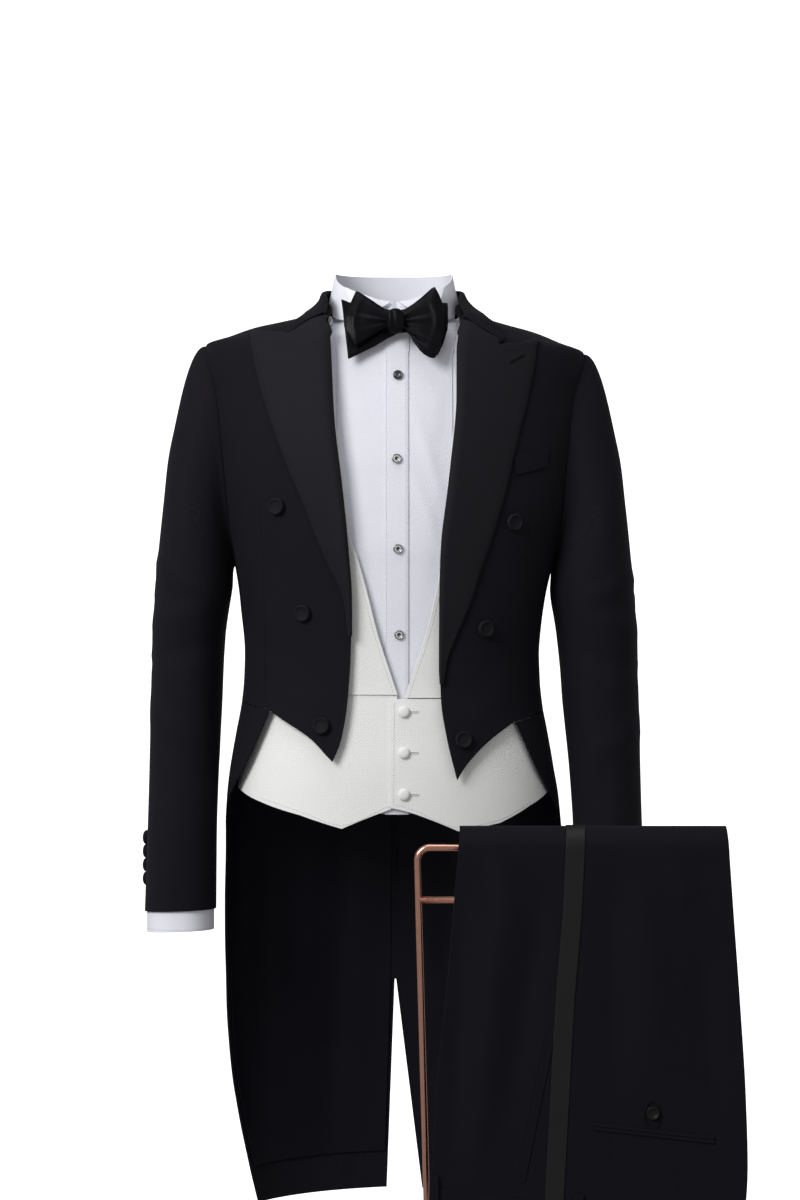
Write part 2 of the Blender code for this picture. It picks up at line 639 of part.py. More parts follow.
def build_front(side):
    """The coat front: neck, front edge, waist corner, side seam, armhole and shoulder."""
    arm = armhole(np.arange(0, FRONT_SEAM_ARM + 1, ARM_STEP))
    seam = front_seam(side)[1:] - [SEAM_TURN, 0]
    right = np.vstack([arm, seam])
    edge = turns(FRONT_EDGE[side], COAT_WALL)
    left = samples([(90.0, NECKLINE), (62.0, 0.001), *edge], len(right) - 1)
    hem = samples(turns(FRONT_HEM[side], COAT_WALL), 4)
    seam_turns = waist_turns()[1:FRONT_SKIRT_COLUMNS]
    waist = np.stack([seam_turns, waist_height(side, seam_turns)], axis=-1)
    bottom = np.vstack([hem, waist, right[-1:]])
    points = fill(crest(NECKLINE, shoulder_tip(), len(bottom) - 1), bottom, left, right, COAT_WALL)
    points[0, :, 1] = -SEAM
    return sheet(f"coat_front_{side_name(side)}", flip(points, side), COAT_WALL, BLACK_WOOL)


def build_side(side):
    """The side body, from the armhole down to the waist seam."""
    top = armhole(np.arange(FRONT_SEAM_ARM, BACK_SEAM_ARM + 1, ARM_STEP))
    left = front_seam(side) + [SEAM_TURN, 0]
    right = back_seam(side) - [SEAM_TURN, 0]
    turn = waist_turns()[FRONT_SKIRT_COLUMNS:]
    bottom = np.stack([turn, waist_height(side, turn)], axis=-1)
    bottom[0], bottom[-1] = left[-1], right[-1]
    points = fill(top, bottom, left, right, COAT_WALL)
    sheet(f"coat_side_{side_name(side)}", flip(points, side), COAT_WALL, BLACK_WOOL)


def tail_grid(side, part):
    """Turns and heights of the tail: its back strip, or its skirt from the front edge to that strip."""
    shares = np.array(TAIL_ROWS)
    seam, edge = np.moveaxis(spline([row[0] for row in TAIL], [row[1:] for row in TAIL])(shares), -1, 0)
    middle_heights = waist_height(side, 180.0) * (1 - shares) + TAIL_HEM_MIDDLE * shares
    opening = VENT_OPENS[side] * np.clip((shares - VENT_TOP) / (1 - VENT_TOP), 0, 1) + SEAM / 2
    middle = 180 - np.array([turn_at(x, z, COAT_WALL) for x, z in zip(opening, middle_heights)])
    if part == "back":
        start, end, steps = seam + SEAM_TURN, middle, np.linspace(0, 1, BACK_COLUMNS + 1)
    else:
        columns = waist_turns()
        start, end, steps = edge, seam - SEAM_TURN, (columns - columns[0]) / (columns[-1] - columns[0])
    turn = start[:, None] + (end - start)[:, None] * steps
    towards_edge = np.clip((180 - turn) / (180 - edge[-1]), 0, 1)
    hem = TAIL_HEM_MIDDLE + (TAIL_HEM_EDGE - TAIL_HEM_MIDDLE) * towards_edge
    height = waist_height(side, turn) * (1 - shares[:, None]) + hem * shares[:, None]
    return np.stack([turn, height], axis=-1)


def back_points(side):
    """The inner face of the back, shoulder to hem."""
    arm = armhole(np.arange(360, BACK_SEAM_ARM - 1, -ARM_STEP))
    seam = back_seam(side)[1:] + [SEAM_TURN, 0]
    left = np.vstack([arm, seam])
    neck = samples([(90.0, NECKLINE), (180.0, NECKLINE)], NECK_COLUMNS)
    top = np.vstack([crest(shoulder_tip(), NECKLINE, BACK_COLUMNS - NECK_COLUMNS), neck[1:]])
    tail = tail_grid(side, "back")
    right = samples([(180.0, NECKLINE), tuple(tail[0, -1])], len(left) - 1, bunch=LAYER_BUNCH)
    upper = fill(top, tail[0], left, right, COAT_WALL)
    upper[0, : BACK_COLUMNS - NECK_COLUMNS + 1, 1] = SEAM
    upper[:, -1, 0] = SEAM / 2
    return np.concatenate([upper, on_form(tail[1:], COAT_WALL)]), len(upper) - 1


def build_back(side):
    """The back with its tail, the skirt sewn to it, and the lining inside the tail."""
    name = side_name(side)
    back, waist = back_points(side)
    skirt = on_form(tail_grid(side, "skirt"), COAT_WALL)
    skirt[0, :, 2] -= WAIST_GAP
    sheet(f"coat_back_{name}", flip(back, side), COAT_WALL, BLACK_WOOL)
    sheet(f"coat_skirt_{name}", flip(skirt, side), COAT_WALL, BLACK_WOOL)
    lining = np.concatenate([skirt, back[waist:, 1:]], axis=1)[LINING_FIRST_ROW:]
    lining = moved(lining, -LINING_IN[side])
    lining[:, 0] += LINING_EDGE_SHARE * (lining[:, 1] - lining[:, 0])
    lining[:, -1] += LINING_EDGE_SHARE * (lining[:, -2] - lining[:, -1])
    lining[-1] += LINING_HEM_SHARE * (lining[-2] - lining[-1])
    sheet(f"tail_lining_{name}", flip(lining, side), LINING_WALL, LINING_SATIN, grow=-1)


def sleeve_ring(angle, height, inside):
    """Places round the sleeve at these heights, this far inside its outer face."""
    outer, inner, front, back = np.moveaxis(
        spline([-row[0] for row in SLEEVE], [row[1:] for row in SLEEVE])(-height), -1, 0)
    cosine, sine = np.cos(angle), np.sin(angle)
    power = 2 / SQUARENESS
    x = (outer + inner) / 2 + ((outer - inner) / 2 - inside) * np.sign(cosine) * np.abs(cosine) ** power
    y = (front + back) / 2 - ((back - front) / 2 - inside) * np.sign(sine) * np.abs(sine) ** power
    low = np.clip((SLEEVE[-2][0] - height) / (SLEEVE[-2][0] - SLEEVE[-1][0]), 0, 1)
    tilt = SLEEVE_HEM_TILT * low * (sine - cosine) / 2
    return np.stack([x, y, height + tilt], axis=-1)


def sleeve_points(degrees_round):
    """The inner face of a stretch of sleeve, from the armhole to its hem."""
    angle = np.radians(degrees_round)
    start = on_form(armhole(degrees_round), -ARMHOLE_OUT)
    end = sleeve_ring(angle, np.full(len(angle), SLEEVE[0][0]), COAT_WALL)
    drop = (start - end)[:, 2:]
    lean_out = start + (CAP_OUT * drop + CAP_RIDGE) * [1, 0, 0]
    lean_down = end + drop * CAP_DOWN
    rows = []
    for t in np.linspace(0, 1, CAP_ROWS + 1):
        rows.append((1 - t) ** 3 * start + 3 * t * (1 - t) ** 2 * lean_out
                    + 3 * t * t * (1 - t) * lean_down + t ** 3 * end)
    for height in np.linspace(SLEEVE[0][0], SLEEVE[-1][0], SLEEVE_ROWS + 1)[1:]:
        rows.append(sleeve_ring(angle, np.full(len(angle), height), COAT_WALL))
    return np.array(rows)


def build_sleeve(side):
    """Top and under sleeve, the shirt cuff inside them and the cuff buttons."""
    name = side_name(side)
    heart = (side * (SLEEVE[2][1] + SLEEVE[2][2]) / 2, 0.0)
    top_turns = np.arange(BACK_SEAM_ARM, 360 + FRONT_SEAM_ARM + 1, ARM_STEP).astype(float)
    under_turns = np.arange(FRONT_SEAM_ARM, BACK_SEAM_ARM + 1, ARM_STEP).astype(float)
    for stretch in (top_turns, under_turns):
        stretch[0] += SLEEVE_SEAM_TURN
        stretch[-1] -= SLEEVE_SEAM_TURN
    top = sheet(f"coat_top_sleeve_{name}", flip(sleeve_points(top_turns), side), COAT_WALL, BLACK_WOOL, heart)
    sheet(f"coat_under_sleeve_{name}", flip(sleeve_points(under_turns), side), COAT_WALL, BLACK_WOOL, heart)
    around = np.radians(np.arange(0, 360, ARM_STEP))
    inside = COAT_WALL + CUFF_GAP + SHIRT_WALL
    heights = (CUFF_TOP, (CUFF_TOP + SLEEVE[-1][0]) / 2, SLEEVE[-1][0], CUFF_END)
    cuff = np.array([sleeve_ring(around, np.full(len(around), z), inside) for z in heights])
    sheet(f"shirt_cuff_{name}", flip(cuff, side), SHIRT_WALL, WHITE_COTTON, heart, ring=True)
    buttons = []
    for number, height in enumerate(CUFF_BUTTON_HEIGHTS):
        place, normal = seat(top, (side * 1.0, CUFF_BUTTON_Y, height), (-side, 0, 0))
        group = "cutters" if number else "evening_set"
        label = f"cuff_button_{name}_{number + 1}" if number else f"cuff_buttons_{name}"
        buttons.append(lens(label, CUFF_BUTTON_RADIUS, CUFF_BUTTON_THICK, place, normal, BLACK_WOOL, group))
    join(buttons[0], buttons[1:])


def collar_rows(side):
    """Rows of the collar from the middle of the back to the gorge, each from its seam to its outer edge."""
    throat = turns([LAPEL_THROAT[side]])[0]
    notch = turns([LAPEL_NOTCH[side]])[0]
    table = np.array([*COLLAR, (*throat, COLLAR_END_STAND, *notch)])
    places = spline(np.arange(len(table)), table)(np.linspace(0, len(table) - 1, COLLAR_STEPS + 1))
    foot = on_form(places[:, 0:2], -COLLAR_WALL_CLEAR)
    edge = on_form(places[:, 3:5], -COLLAR_LIFT)
    out = (edge - foot) * [1, 1, 0]
    out = out / np.linalg.norm(out, axis=1, keepdims=True)
    rise = places[:, 2:3] * ([0, 0, 1] - COLLAR_LEAN * out)
    inner_crest = foot + rise
    outer_crest = inner_crest + COLLAR_FOLD * out - [0, 0, 0.0006]
    leaf = []
    for share in COLLAR_LEAF:
        line = places[:, 0:2] * (1 - share) + places[:, 3:5] * share
        leaf.append(on_form(line, -COLLAR_LIFT) + (1 - share) ** 2 * COLLAR_ROLL * rise)
    return np.stack([foot, inner_crest, outer_crest, *leaf, edge], axis=1)


def build_collar():
    """The collar, in one piece from notch to notch."""
    right = flip(collar_rows(1), 1)
    left = flip(collar_rows(-1), -1)
    right[-1, :, 2] += GORGE_GAP
    left[-1, :, 2] += GORGE_GAP
    points = np.concatenate([left[::-1], right[1:]])
    sheet("coat_collar", points + [0, 0, COLLAR_WALL_CLEAR], COAT_WALL, BLACK_WOOL, grow=0)


def build_lapel(side):
    """The peaked lapel, laid on the front from the roll to its outer edge."""
    throat, notch = (turns([place])[0] for place in (LAPEL_THROAT[side], LAPEL_NOTCH[side]))
    edge = turns(LAPEL_EDGE[side])
    gorge = samples([throat, notch], 2)
    peak = samples([notch, edge[0]], 2)
    top = np.vstack([gorge, peak[1:]])
    right = samples(edge, LAPEL_STEPS, bunch=LAPEL_BUNCH)
    roll_rows = [row for row in FRONT_EDGE[side] if LAPEL_EDGE[side][-1][1] < row[1] < LAPEL_THROAT[side][1]]
    roll_end = (LAPEL_EDGE[side][-1][0] - 0.0017, LAPEL_EDGE[side][-1][1])
    left = samples(turns([LAPEL_THROAT[side], *roll_rows, roll_end]), LAPEL_STEPS, bunch=LAPEL_BUNCH)
    bottom = samples([left[-1], right[-1]], 4)
    points = fill(top, bottom, left, right)
    points[0, :, 2] -= GORGE_GAP / 2
    across = np.linspace(0, 1, 5)[None, :]
    lift = LAPEL_LIFT + (LAPEL_ROLL_LIFT - LAPEL_LIFT) * (1 - across) ** 2
    points = points + (moved(points, 1.0) - points) * lift[..., None]
    sheet(f"lapel_{side_name(side)}", flip(points, side), LAPEL_WALL, BLACK_SATIN)


def laid_on(obj, corners, columns, rows, clear):
    """A grid laid on the front of a piece between four corners, given by distance across and height."""
    low_in, low_out, high_out, high_in = (np.array(corner) for corner in corners)
    points = []
    for v in np.linspace(0, 1, rows + 1):
        line = []
        for u in np.linspace(0, 1, columns + 1):
            x, z = (1 - v) * ((1 - u) * high_in + u * high_out) + v * ((1 - u) * low_in + u * low_out)
            place, normal = seat(obj, (x, -1.0, z), (0, 1, 0))
            line.append(place + normal * clear)
        points.append(line)
    return np.array(points)


def build_waistcoat():
    """Upper fronts, pointed waistband fronts, back and buttons."""
    backs = [(180 - turn, height) for turn, height in WAISTCOAT_ARMHOLE[:-1]]
    for side in (-1, 1):
        top = crest(WAISTCOAT_NECK, WAISTCOAT_TIP, 4)
        side_seam = (WAISTCOAT_SIDE_TURN - SEAM_TURN, WAISTBAND_TOP[side])
        right = samples([(90.0, WAISTCOAT_TIP), *WAISTCOAT_ARMHOLE[:-1],
                         (WAISTCOAT_SIDE_TURN - SEAM_TURN, WAISTCOAT_ARMHOLE[-1][1]), side_seam], 13)
        neck = turns(WAISTCOAT_V[side], WAISTCOAT_IN, side)
        left = samples([(90.0, WAISTCOAT_NECK), (55.0, -0.0150), *neck], 13, bunch=LAYER_BUNCH)
        bottom = samples([left[-1], right[-1]], 4)
        points = fill(top, bottom, left, right, WAISTCOAT_IN)
        points[0, :, 1] = -SEAM
        sheet(f"waistcoat_front_{side_name(side)}", flip(points, side), WAISTCOAT_WALL, WHITE_PIQUE)

        hem = turns(WAISTBAND_HEM[side], WAISTCOAT_IN, side)
        start = (hem[0][0], WAISTBAND_TOP[side] - SEAM)
        corner = (WAISTCOAT_SIDE_TURN - SEAM_TURN, WAISTCOAT_BACK_HEM)
        top = samples([start, (corner[0], WAISTBAND_TOP[side] - SEAM)], 7)
        bottom = samples([*hem, corner], 7, straight=True)
        left = samples([start, hem[0]], 3)
        right = samples([(corner[0], WAISTBAND_TOP[side] - SEAM), corner], 3)
        inside = np.full((4, 8), WAISTCOAT_IN)
        if side < 0:
            inside = inside + WAISTCOAT_UNDER * np.clip(1 - np.arange(8) / 3, 0, 1)
        points = on_form(patch(top, bottom, left, right), inside)
        sheet(f"waistband_{side_name(side)}", flip(points, side), WAISTCOAT_WALL, WHITE_PIQUE)

    left = samples([(90.0, WAISTCOAT_TIP), *backs, (WAISTCOAT_SIDE_TURN + SEAM_TURN, -0.345),
                    (WAISTCOAT_SIDE_TURN + SEAM_TURN, WAISTCOAT_BACK_HEM)], 12, bunch=LAYER_BUNCH)
    neck = samples([(90.0, WAISTCOAT_NECK), (180.0, WAISTCOAT_NECK)], NECK_COLUMNS)
    top = np.vstack([crest(WAISTCOAT_TIP, WAISTCOAT_NECK, 3), neck[1:]])
    bottom = samples([left[-1], (180.0, WAISTCOAT_BACK_HEM)], len(top) - 1)
    right = samples([top[-1], bottom[-1]], 12, bunch=LAYER_BUNCH)
    half = sunk(fill(top, bottom, left, right, WAISTCOAT_IN), WAISTCOAT_LOOSE)
    half[:, -1, 0] = 0.0
    half[0, :4, 1] = SEAM
    points = np.concatenate([flip(half, -1), flip(half, 1)[:, -2::-1]], axis=1)
    sheet("waistcoat_back", points, WAISTCOAT_WALL, WHITE_PIQUE)

    band = bpy.data.objects["waistband_right"]
    for number, (x, z) in enumerate(WAISTCOAT_BUTTONS, 1):
        place, normal = seat(band, (x, -1.0, z), (0, 1, 0))
        lens(f"waistcoat_button_{number}", WAISTCOAT_BUTTON_RADIUS, WAISTCOAT_BUTTON_THICK, place, normal,
             WHITE_PIQUE)


def neck_ring(turn):
    """The shirt's neck seam at these turns, on its inner face."""
    turn = np.asarray(turn, float)
    return on_form(np.stack([turn, np.full(turn.shape, SHIRT_NECK)], axis=-1), SHIRT_IN)


def build_shirt():
    """Fronts, placket, back, collar band, wings and studs."""
    neck = samples([(0.0, SHIRT_NECK), (90.0, SHIRT_NECK)], 3)
    tip = crest(SHIRT_NECK, SHIRT_TIP, 3)
    for side in (-1, 1):
        top = np.vstack([neck, tip[1:]])
        right = samples([(90.0, SHIRT_TIP), *SHIRT_ARMHOLE, (90.0, SHIRT_HEM_SIDE)], SHIRT_ROWS,
                        bunch=LAYER_BUNCH)
        left = samples([(0.0, SHIRT_NECK), (0.0, SHIRT_HEM_MIDDLE)], SHIRT_ROWS, bunch=LAYER_BUNCH)
        bottom = samples(SHIRT_HEM, 6)
        points = fill(top, bottom, left, right, SHIRT_IN)
        points[:, 0, 0] = SEAM / 2
        points[0, 3:, 1] = -SEAM
        points[4:, -1, 1] -= SEAM / 2
        sheet(f"shirt_front_{side_name(side)}", flip(points, side), SHIRT_WALL, WHITE_COTTON)

    armhole_back = [(180 - turn, height) for turn, height in SHIRT_ARMHOLE]
    left = samples([(90.0, SHIRT_TIP), *armhole_back, (90.0, SHIRT_HEM_SIDE)], SHIRT_ROWS, bunch=LAYER_BUNCH)
    neck = samples([(90.0, SHIRT_NECK), (180.0, SHIRT_NECK)], NECK_COLUMNS)
    top = np.vstack([crest(SHIRT_TIP, SHIRT_NECK, 3), neck[1:]])
    bottom = samples([left[-1], (180.0, SHIRT_HEM_SIDE)], len(top) - 1)
    right = samples([top[-1], bottom[-1]], SHIRT_ROWS, bunch=LAYER_BUNCH)
    half = sunk(fill(top, bottom, left, right, SHIRT_IN), SHIRT_LOOSE)
    half[:, -1, 0] = 0.0
    half[0, :4, 1] = SEAM
    half[4:, 0, 1] += SEAM / 2
    points = np.concatenate([flip(half, -1), flip(half, 1)[:, -2::-1]], axis=1)
    sheet("shirt_back", points, SHIRT_WALL, WHITE_COTTON)

    heights = samples([(0.0, SHIRT_NECK), (0.0, SHIRT_HEM_MIDDLE)], SHIRT_ROWS, bunch=LAYER_BUNCH)[1:, 1]
    lines = []
    for x in (PLACKET[0], 0.0, PLACKET[1]):
        turn = np.array([turn_at(x, height, SHIRT_IN) for height in heights])
        lines.append(on_form(np.stack([turn, heights], axis=-1), SHIRT_IN - SHIRT_WALL - 3 * SEAM))
    placket = sheet("shirt_placket", np.stack(lines, axis=1), PLACKET_WALL, WHITE_COTTON)

    turn = np.linspace(1.0, 359.0, 25)
    low = neck_ring(turn) + [0, 0, BAND_RISE]
    rise = spline([row[0] for row in BAND_TOP], [row[1:] for row in BAND_TOP])(180 - np.abs(180 - turn))
    high = low * [BAND_TAPER, BAND_TAPER, 0]
    high[:, 2:] = rise
    sides = np.clip((np.abs(np.sin(np.radians(turn))) - BAND_SIDES_FROM) / (1 - BAND_SIDES_FROM), 0, 1)
    belly = low + BAND_BELLY * (sides * np.sign(low[:, 0]))[:, None] * [1, 0, 0]
    belly[:, 2] = np.minimum(low[:, 2] + BAND_BELLY_RISE, (low[:, 2] + high[:, 2]) / 2)
    sheet("shirt_collar_band", np.stack([high, (high + belly) / 2, belly, low]), SHIRT_WALL, WHITE_COTTON)

    for side in (-1, 1):
        around = np.array(WING_TURNS)
        height = spline([row[0] for row in BAND_TOP], [row[1:] for row in BAND_TOP])(around)
        top = neck_ring(around) * [WING_OUT, WING_OUT, 0] - [0, WING_AHEAD, 0]
        top[:, 2:] = height
        end = np.array(WING_TIP) + np.array(WING_END)
        points = np.stack([top, top * (1 - WING_BEND) + end * WING_BEND - [0, WING_BELLY, 0], end])
        sheet(f"shirt_wing_{side_name(side)}", flip(points, side), SHIRT_WALL, WHITE_COTTON)

    for number, (x, z) in enumerate(STUDS, 1):
        place, normal = seat(placket, (x, -1.0, z), (0, 1, 0))
        lens(f"shirt_stud_{number}", STUD_RADIUS, STUD_THICK, place, normal, STUD_METAL)


def bow_rings(table, back):
    """Upright eight-sided sections of the bow, this far behind its front layer."""
    rings = []
    for x, middle, height, thick in table:
        ring = []
        for angle in np.linspace(0, 2 * pi, 8, endpoint=False) + pi / 8:
            z = middle + height / 2 * np.cos(angle)
            y = BOW_Y + BOW_LEAN * z + back + thick / 2 * np.sin(angle)
            ring.append((x, y, z))
        rings.append(ring)
    return rings


def build_bow():
    """Loops, blades, knot and the band round the collar."""
    loft("bow_loops", bow_rings(BOW_LOOPS, 0.0), BLACK_SATIN)
    loft("bow_blades", bow_rings(BOW_BLADES, BLADES_BACK), BLACK_SATIN)
    x, height, half_width, half_depth, half_height = KNOT
    front = BOW_Y + BOW_LEAN * height - BOW_LOOPS[4][3] / 2
    shape = bmesh.new()
    bmesh.ops.create_uvsphere(shape, u_segments=12, v_segments=8, radius=1.0)
    bmesh.ops.scale(shape, vec=(half_width, half_depth, half_height), verts=shape.verts)
    bmesh.ops.translate(shape, vec=(x, front - half_depth - KNOT_CLEAR, height), verts=shape.verts)
    mesh = bpy.data.meshes.new("bow_knot")
    shape.to_mesh(mesh)
    shape.free()
    mesh.shade_smooth()
    place_object("bow_knot", mesh, BLACK_SATIN)
    ring = neck_ring(np.linspace(TIE_BAND_TURNS[0], TIE_BAND_TURNS[1], 5))
    ring = ring + TIE_BAND_OUT * ring * [1, 1, 0] / np.linalg.norm(ring[:, :2], axis=1, keepdims=True)
    middle_x, middle_y, middle_low, middle_high = TIE_BAND_MIDDLE
    low = np.vstack([(middle_x, middle_y, middle_low), ring + [0, 0, TIE_BAND_LOW]])
    high = np.vstack([(middle_x, middle_y, middle_high), ring + [0, 0, TIE_BAND_HIGH]])
    half = np.stack([high, low])
    points = np.concatenate([half[:, ::-1] * [-1, 1, 1], half], axis=1)
    sheet("bow_band", points, SHIRT_WALL, BLACK_SATIN)


def trouser_stations(low):
    """Stations along the leg from its lower front edge over the bar to its lower back edge."""
    stations = [("front", low)] + [("front", fall) for fall in FRONT_FALLS]
    stations += [("fold", turn) for turn in FOLD_TURNS]
    return stations + [("behind", fall) for fall in BEHIND_FALLS]


def edges_at(kind, value):
    """Left edge, braid and right edge of the leg at a station."""
    table = TROUSER_BEHIND if kind == "behind" or (kind == "fold" and value > 0) else TROUSER_FRONT
    fall = TROUSER_OUT * (1 - np.cos(np.radians(value))) if kind == "fold" else value
    return spline([row[0] for row in table], [row[1:] for row in table])(fall)


def draped(x, kind, value, out):
    """A place on a layer that lies this far from the middle of the bar."""
    fold = RACK_TOP + TROUSER_OUT
    if kind == "fold":
        angle = radians(value)
        return (x, RACK_Y + out * np.sin(angle), RACK_TOP + out * np.cos(angle))
    if kind == "behind":
        return (x, RACK_Y + out, fold - value)
    return (x, RACK_Y - out, fold - value)


def seam_fall(x):
    """How far below the fold the waistband seam lies at this x."""
    return SEAM_FALL + SEAM_FALL_TILT * (x - TROUSER_FRONT[-1][1])


def leg_sheet(name, share_from, share_to, out, wall, finish, columns=3, inset=0.0):
    """A layer of the leg between two shares of its width: 0 left edge, 1 braid, 2 right edge."""
    rows = []
    for number, (kind, value) in enumerate(trouser_stations(SEAM_FALL)):
        left, braid, right = edges_at(kind, value)
        row = []
        for share in np.linspace(share_from, share_to, columns + 1):
            x = np.interp(share, [0, 1, 2], [left + inset, braid, right - inset])
            if share == 1 and share_from == 1:
                x += SEAM / 2
            elif share == 1 and share_to == 1:
                x -= SEAM / 2
            row.append(draped(x, kind, seam_fall(x) if number == 0 else value, out))
        rows.append(row)
    return sheet(name, np.array(rows), wall, finish, heart=(TROUSER_MIDDLE_X, RACK_Y))


def build_trousers():
    """Both panels of the leg that shows, the other leg, the layers between, waistband, braid and pocket."""
    leg_sheet("trouser_front_panel", 0.0, 1.0, TROUSER_OUT, TROUSER_WALL, BLACK_WOOL)
    back_panel = leg_sheet("trouser_back_panel", 1.0, 2.0, TROUSER_OUT, TROUSER_WALL, BLACK_WOOL)
    leg_sheet("trouser_other_leg", 0.0, 2.0, LEG_OUT, TROUSER_WALL, BLACK_WOOL, columns=3, inset=0.004)

    first = LEG_OUT + TROUSER_WALL + SEAM
    last = TROUSER_OUT - SEAM
    mid = (first + last) / 2
    outs = (first, (first + mid) / 2, mid, (mid + last) / 2, last)
    profile = tuple(zip(INNER_INSETS, outs))
    rings = []
    for number, (kind, value) in enumerate(trouser_stations(SEAM_FALL)):
        left, _, right = edges_at(kind, value)
        ring = []
        for inset, out in profile:
            x = left + inset
            ring.append(draped(x, kind, seam_fall(x) if number == 0 else value, out))
        for inset, out in profile[::-1]:
            x = right - inset
            ring.append(draped(x, kind, seam_fall(x) if number == 0 else value, out))
        rings.append(ring)
    loft("trouser_inner_layers", rings, BLACK_WOOL)

    left, _, right = edges_at("front", SEAM_FALL)
    rows = []
    for deep in (SEAM, WAISTBAND_DEEP):
        line = np.linspace(left, right, 5)
        rows.append([draped(x, "front", seam_fall(x) + deep, TROUSER_OUT) for x in line])
    waistband = sheet("trouser_waistband", np.array(rows), WAISTBAND_WALL, BLACK_WOOL, heart=(TROUSER_MIDDLE_X, RACK_Y))
    loops = []
    for number, x in enumerate(BELT_LOOPS, 1):
        shape = bmesh.new()
        bmesh.ops.create_cube(shape, size=1.0)
        high = RACK_TOP + TROUSER_OUT - seam_fall(x) + BELT_LOOP_RISE
        tall = BELT_LOOP_RISE + BELT_LOOP_FALL
        near = RACK_Y - TROUSER_OUT - TROUSER_WALL - 2 * SEAM
        bmesh.ops.scale(shape, vec=(BELT_LOOP_WIDTH, BELT_LOOP_WALL, tall), verts=shape.verts)
        bmesh.ops.translate(shape, vec=(x, near - BELT_LOOP_WALL / 2, high - tall / 2), verts=shape.verts)
        mesh = bpy.data.meshes.new(f"belt_loop_{number}")
        shape.to_mesh(mesh)
        shape.free()
        loops.append(place_object(f"belt_loop_{number}", mesh, BLACK_WOOL, "cutters"))
    join(waistband, loops)

    rows = []
    for number, (kind, value) in enumerate(trouser_stations(SEAM_FALL)):
        braid = edges_at(kind, value)[1]
        line = np.linspace(braid - BRAID_WIDTH / 2, braid + BRAID_WIDTH / 2, 3)
        out = TROUSER_OUT + TROUSER_WALL + SEAM
        rows.append([draped(x, kind, seam_fall(x) - 2 * SEAM if number == 0 else value, out) for x in line])
    sheet("trouser_braid", np.array(rows), BRAID_WALL, BLACK_SATIN, heart=(TROUSER_MIDDLE_X, RACK_Y))

    (x1, z1), (x2, z2) = POCKET_WELT
    corners = ((x1, z1 - POCKET_WELT_DEEP), (x2, z2 - POCKET_WELT_DEEP), (x2, z2), (x1, z1))
    sheet("back_pocket_welt", laid_on(back_panel, corners, 3, 1, SEAM), WELT_WALL, BLACK_WOOL,
          heart=(POCKET_BUTTON[0], RACK_Y))
    place, normal = seat(back_panel, (POCKET_BUTTON[0], -1.0, POCKET_BUTTON[1]), (0, 1, 0))
    lens("back_pocket_button", POCKET_BUTTON_RADIUS, POCKET_BUTTON_THICK, place, normal, BLACK_WOOL)


def rod(name, route, group="evening_set"):
    """A round rod along a route, as a closed mesh."""
    curve = bpy.data.curves.new(name, "CURVE")
    curve.dimensions = "3D"
    line = curve.splines.new("POLY")
    line.points.add(len(route) - 1)
    for point, place in zip(line.points, route):
        point.co = (*place, 1.0)
    curve.bevel_depth = ROD_RADIUS
    curve.bevel_resolution = 2
    curve.use_fill_caps = True
    guide = bpy.data.objects.new(name + "_curve", curve)
    bpy.context.scene.collection.objects.link(guide)
    bpy.context.view_layer.update()
    mesh = bpy.data.meshes.new_from_object(guide.evaluated_get(bpy.context.evaluated_depsgraph_get()))
    shape = bmesh.new()
    shape.from_mesh(mesh)
    bmesh.ops.remove_doubles(shape, verts=shape.verts, dist=1e-6)
    shape.to_mesh(mesh)
    shape.free()
    mesh.materials.clear()
    mesh.shade_smooth()
    bpy.data.objects.remove(guide)
    return place_object(name, mesh, COPPER, group)


def build_rack():
    """The bent rod frame with its cross bar and flat feet, welded into one piece."""
    foot_top = RACK_BOTTOM + FOOT_THICK
    post_left = np.array([RACK_LEFT + RACK_LEAN, RACK_Y, foot_top - FOOT_THICK / 2])
    post_right = np.array([RACK_RIGHT - RACK_LEAN, RACK_Y, foot_top - FOOT_THICK / 2])
    route = [post_left]
    for side, centre_x in ((-1, RACK_LEFT + RACK_CORNER), (1, RACK_RIGHT - RACK_CORNER)):
        bend = []
        for angle in np.linspace(0, pi / 2, 4):
            bend.append((centre_x + side * RACK_CORNER * np.cos(angle), RACK_Y,
                         RACK_TOP - RACK_CORNER + RACK_CORNER * np.sin(angle)))
        route += bend if side < 0 else bend[::-1]
    route.append(post_right)
    frame = rod("trouser_rack", route)
    share = (RACK_TOP - RACK_CORNER - RACK_CROSS_BAR) / (RACK_TOP - RACK_CORNER - RACK_BOTTOM)
    inset = RACK_LEAN * share
    bar = rod("rack_cross_bar", [(RACK_LEFT + inset, RACK_Y, RACK_CROSS_BAR),
                                 (RACK_RIGHT - inset, RACK_Y, RACK_CROSS_BAR)], "cutters")
    feet = []
    for number, place in enumerate((post_left, post_right), 1):
        shape = bmesh.new()
        bmesh.ops.create_cube(shape, size=1.0)
        bmesh.ops.scale(shape, vec=(FOOT_WIDTH, FOOT_LENGTH, FOOT_THICK), verts=shape.verts)
        bmesh.ops.translate(shape, vec=Vector(place), verts=shape.verts)
        mesh = bpy.data.meshes.new(f"rack_foot_{number}")
        shape.to_mesh(mesh)
        shape.free()
        feet.append(place_object(f"rack_foot_{number}", mesh, COPPER, "cutters"))
    join(frame, [bar, *feet])


